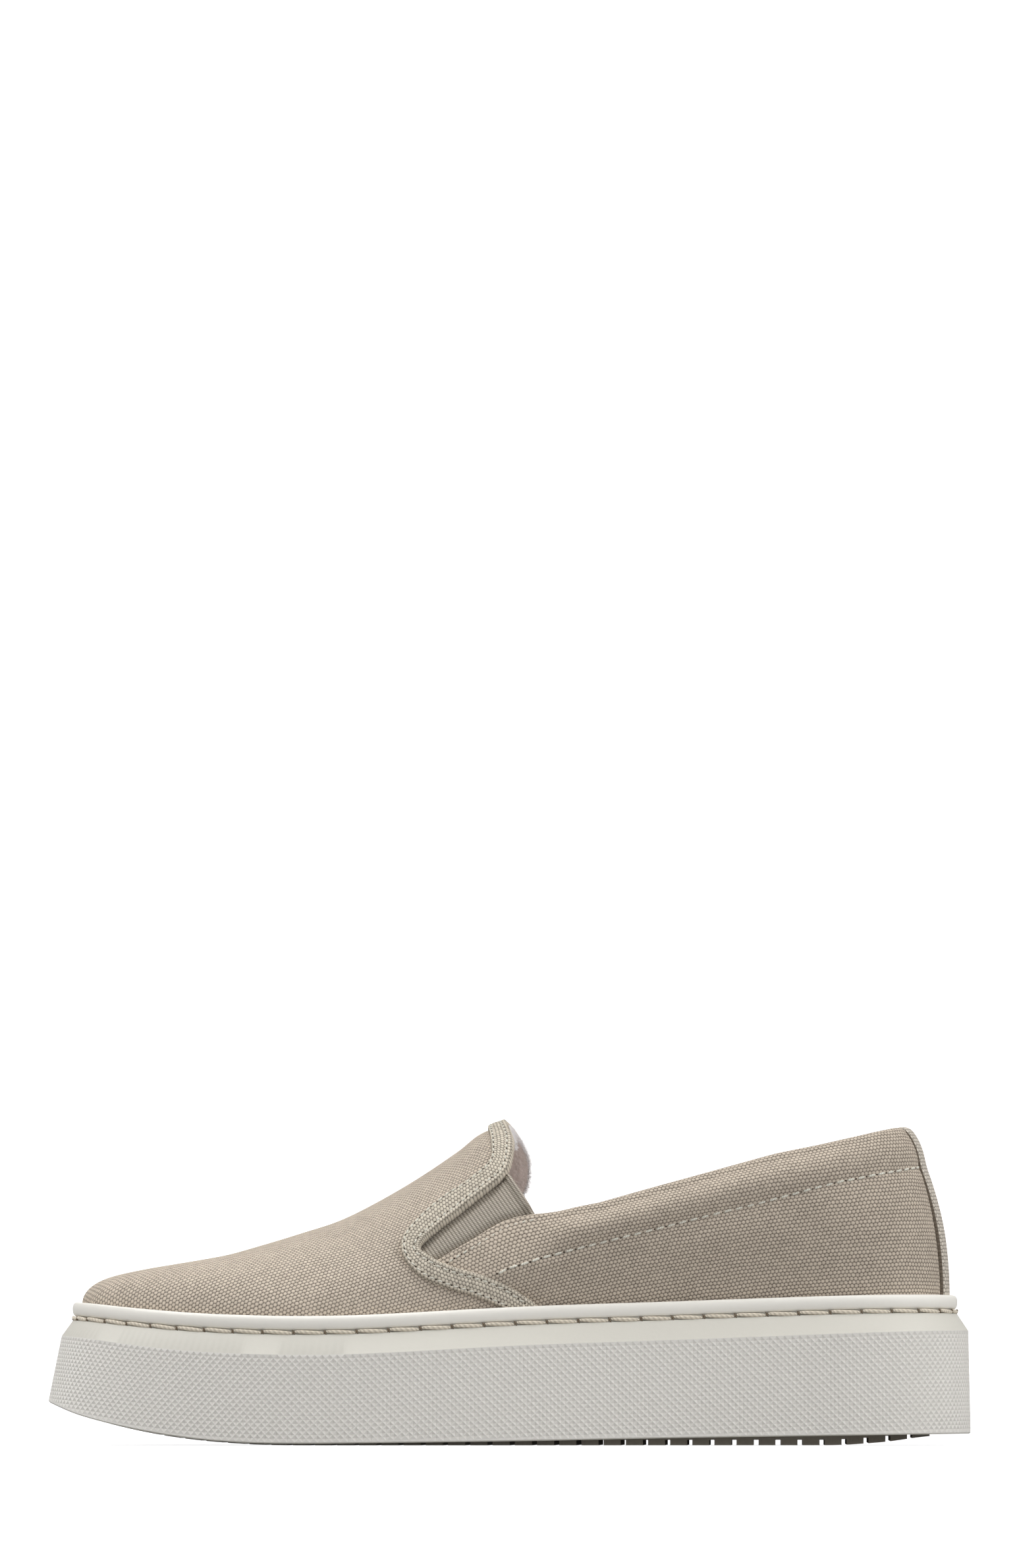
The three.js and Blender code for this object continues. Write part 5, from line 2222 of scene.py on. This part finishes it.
@dataclass
class Studio:
    """The pale sweep, the lights and the camera."""

    distance: float = 2500
    eye: float = 8
    aim: float = 197.8
    across: float = 0.3
    width: float = 305.97
    paper: float = 12.0  # in metres, as the places of the lamps
    behind: float = 1.5
    overlap: float = 0.1
    paper_tone: float = 0.4
    floor_seen: float = 0.74
    backdrop_seen: float = 1.0
    glow: float = 0.045
    ambient: float = 0.072
    lamps = (
        ("top", (0, 0.15, 2.2), 1.6, 19.4),
        ("top_front", (-0.3, -1.4, 1.9), 1.4, 11.5),
        ("front", (0, -2.4, 0.7), 1.6, 6.4),
        ("toe", (-2.2, -0.3, 0.9), 1.1, 4.4),
        ("toe_top", (-1.4, 0, 1.8), 1.1, 20.5),
        ("heel", (2.0, -1.0, 0.8), 1.1, 15.5),
        ("heel_top", (1.4, 0, 1.8), 1.1, 12.5),
    )

    def build(self) -> None:
        """Makes the studio."""
        bpy.ops.object.select_all(action="DESELECT")
        half = self.paper / 2
        bpy.ops.mesh.primitive_plane_add(size=self.paper, location=(0, self.behind + self.overlap - half, 0))
        floor = bpy.context.active_object
        floor.name = "floor"
        place, upright = (0, self.behind, half - self.overlap), (math.pi / 2, 0, 0)
        bpy.ops.mesh.primitive_plane_add(size=self.paper, location=place, rotation=upright)
        backdrop = bpy.context.active_object
        backdrop.name = "backdrop"
        for piece, seen in ((floor, self.floor_seen), (backdrop, self.backdrop_seen)):
            Bench.only(piece)
            bpy.ops.object.transform_apply(location=True, rotation=True, scale=True)
            piece.data.materials.append(self._paper(f"{piece.name}_paper", seen))
        for name, place, size, power in self.lamps:
            self._light(name, place, size, power)
        world = bpy.data.worlds.new("studio")
        world.use_nodes = True
        world.node_tree.nodes["Background"].inputs[0].default_value = (1, 1, 1, 1)
        world.node_tree.nodes["Background"].inputs[1].default_value = self.ambient
        bpy.context.scene.world = world
        bpy.context.scene.view_settings.view_transform = "Standard"
        self._camera()

    def _paper(self, name: str, seen: float) -> Material:
        """Makes the white paper of the sweep, which is only there from its front.

        Args:
            name: The material's name.
            seen: How bright the camera sees it. It lights the shoe more weakly.

        Returns:
            The material.
        """
        graph = Graph.start(name)
        shader = graph.shader
        shader.inputs["Base Color"].default_value = (self.paper_tone,) * 3 + (1,)
        shader.inputs["Roughness"].default_value = 0.95
        shader.inputs["Specular IOR Level"].default_value = 0
        shader.inputs["Emission Strength"].default_value = 1
        camera = graph.node("ShaderNodeLightPath").outputs["Is Camera Ray"]
        shown = graph.mixed(camera, (self.glow,) * 3, (seen,) * 3)
        graph.tree.links.new(shown, shader.inputs["Emission Color"])
        behind = graph.node("ShaderNodeNewGeometry").outputs["Backfacing"]
        graph.tree.links.new(graph.maths("SUBTRACT", 1.0, behind), shader.inputs["Alpha"])
        return graph.made

    def _light(self, name: str, place: tuple[float, float, float], size: float, power: float) -> None:
        """Adds a soft light that faces the shoe.

        Args:
            name: Its name.
            place: Where it hangs, in metres.
            size: Its width, in metres.
            power: Its power, in watts.
        """
        bpy.ops.object.light_add(type="AREA", location=place)
        light = bpy.context.active_object
        light.name = name
        light.data.shape = "SQUARE"
        light.data.size = size
        light.data.energy = power
        aim = Vector((0, 0, 0.04)) - light.location
        light.rotation_euler = aim.to_track_quat("-Z", "Y").to_euler()

    def _camera(self) -> None:
        """Adds the camera, low in front of the lateral side."""
        bpy.ops.object.camera_add(location=(self.across * MM, -self.distance * MM, self.eye * MM))
        camera = bpy.context.active_object
        camera.name = "camera"
        tilt = math.atan2(self.aim - self.eye, self.distance)
        camera.rotation_euler = (math.pi / 2 + tilt, 0, 0)
        camera.data.sensor_fit = "HORIZONTAL"
        camera.data.sensor_width = 36
        camera.data.lens = 36 * self.distance / self.width / math.cos(tilt)
        camera.data.dof.use_dof = False
        bpy.context.scene.camera = camera


def upper_stitches(
    pattern: Pattern, quarter: Quarter, band: Binding, thread: Material, hole: Material
) -> None:
    """Sews the rows of thread on the upper.

    Args:
        pattern: The upper's edges.
        quarter: The quarter.
        band: The binding.
        thread: The thread's finish.
        hole: The finish of the holes, painted shade.
    """
    last = quarter.last
    sewing = Stitching(thread, hole)
    fine = Stitching(thread, hole, pitch=2.45, length=1.7, radius=0.24, lift=0.08, slant=13, opening=0.26)
    for which in ("outer", "inner"):
        line, normal = band.row(which)
        keep = line[:, 2] > np.maximum(last.side("rim", line[:, 0]) + 0.5, 0)
        fine.row(f"binding_stitch_{which}", line[keep], normal[keep], Slot.BINDING)
    seam = np.array(pattern.seam_line)
    level = last.level_of(seam)
    for side, low, high in ((Side.LATERAL, 0, last.heel_at), (Side.MEDIAL, last.heel_at, last.spans)):
        columns = np.linspace(low, high, 900)
        x = last.edge(columns)[:, 0]
        place = np.interp(columns, last.columns, level)
        line = quarter.skin(columns, place)
        beside = np.abs(line[:, 1] - last.heel_tip * last.heel_width) > STRIP_CLEAR
        keep = (x > seam[0, 0]) & (line[:, 0] > seam[0, 0]) & (beside | (x < STRIP_BEGINS))
        normal = last.normal(columns, place)
        sewing.row(f"collar_stitch_{side.name.lower()}", line[keep], normal[keep], Slot.CANVAS)
    edge = np.array([(x, z) for x, z in pattern.top_line if -21.5 < x < 8]) + np.array([0.9, -1.9])
    for side in Side:
        line = last.from_side(soften(edge, 60), side)
        _, normals = last.drape(line)
        fine.row(f"quarter_stitch_{side.name.lower()}", line, normals, Slot.CANVAS)


def main() -> None:
    """Dresses the shoe, piece by piece."""
    last = Last()
    pattern = Pattern(last)
    # The dark colour of each canvas is painted shade in the gaps of its weave.
    cloth = Canvas("canvas_cloth", linear(224, 210, 193), linear(60, 51, 42)).material()
    # The quarter's canvas is a darker copy of the vamp's canvas: painted shade over the quarter.
    quarter_painted_shade = Canvas("quarter_cloth", linear(216, 202, 185), linear(57, 48, 40)).material()
    band_cloth = Canvas(
        "binding_cloth", linear(226, 216, 199), linear(66, 58, 47), 1.08, 0.98, variety=0.24
    ).material()
    # The strip's folded edges get a dark band: painted shade of its seam.
    strip_cloth = Canvas("strip_cloth", linear(228, 219, 206), linear(112, 102, 90), edge=9.2).material()
    elastic = Elastic("elastic_weave", linear(214, 205, 191), linear(124, 115, 103)).material()
    lining = Plain("lining_nap", linear(241, 230, 224), 0.95, 700, 0.5, 0.2).material()
    fluff = Plain("lining_fluff", linear(252, 250, 250), 0.95, 700, 0.1, 0.1).material()
    rubber = Plain("rubber_smooth", linear(221, 218, 208), 0.5, 900, 0.02, 0.03).material()
    # The rim's rubber is a lighter copy of the same rubber: painted light that offsets the shade on the round rim.
    bead = Plain("rubber_bead", linear(249, 246, 238), 0.5, 900, 0.02, 0.03).material()
    moulded = Plain("rubber_moulded", linear(233, 230, 224), 0.55, 900, 0.02, 0.03).material()
    cord = Thread("sole_cord", linear(238, 228, 210), linear(118, 102, 82), 9, 0.12).material()
    # The colour of the sole's nicks is painted shade.
    hole = Plain("cord_hole", linear(124, 108, 88), 0.9).material()
    thread = Thread("cream_thread", linear(240, 237, 224), linear(120, 110, 96)).material()
    # Painted shade of the stitches' holes.
    stitch_hole = Plain("stitch_hole", linear(70, 62, 52), 0.9).material()
    sole = Sole(last)
    quarter = Quarter(last, pattern)
    band = Binding(last, pattern)
    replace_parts(sole.build(moulded, rubber, bead), "cupsole")
    LOG.info("cupsole made")
    sole.thread(cord, hole)
    LOG.info("sole thread made")
    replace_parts(Vamp(last, pattern).build(cloth, lining), "upper")
    LOG.info("vamp made")
    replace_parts(quarter.build(quarter_painted_shade, lining), "upper")
    LOG.info("quarter made")
    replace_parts(band.build(band_cloth), "binding")
    LOG.info("binding made")
    for side in Side:
        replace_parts(Gore(last, pattern, side).build(elastic), f"gore_{side.name.lower()}")
        LOG.info("%s elastic made", side.name.lower())
    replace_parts(HeelStrip(quarter).build(strip_cloth), "heel_strip")
    LOG.info("heel strip made")
    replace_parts(Footbed(sole).build(lining), "insole")
    LOG.info("footbed made")
    upper_stitches(pattern, quarter, band, thread, stitch_hole)
    LOG.info("stitches of the upper made")
    Nap(band).build(fluff)
    LOG.info("fluff made")
    tread = bpy.data.objects["tread"]
    tread.data.materials.clear()
    # The tread's rubber is painted darker than the cupsole's: painted shade under the sole.
    tread.data.materials.append(Plain("rubber_tread", linear(150, 142, 130), 0.7, 900, 0.05, 0.1).material())
    LOG.info("tread dressed")
    Studio().build()
    LOG.info("studio made")


if __name__ == "__main__":
    logging.basicConfig(level=logging.INFO)
    main()
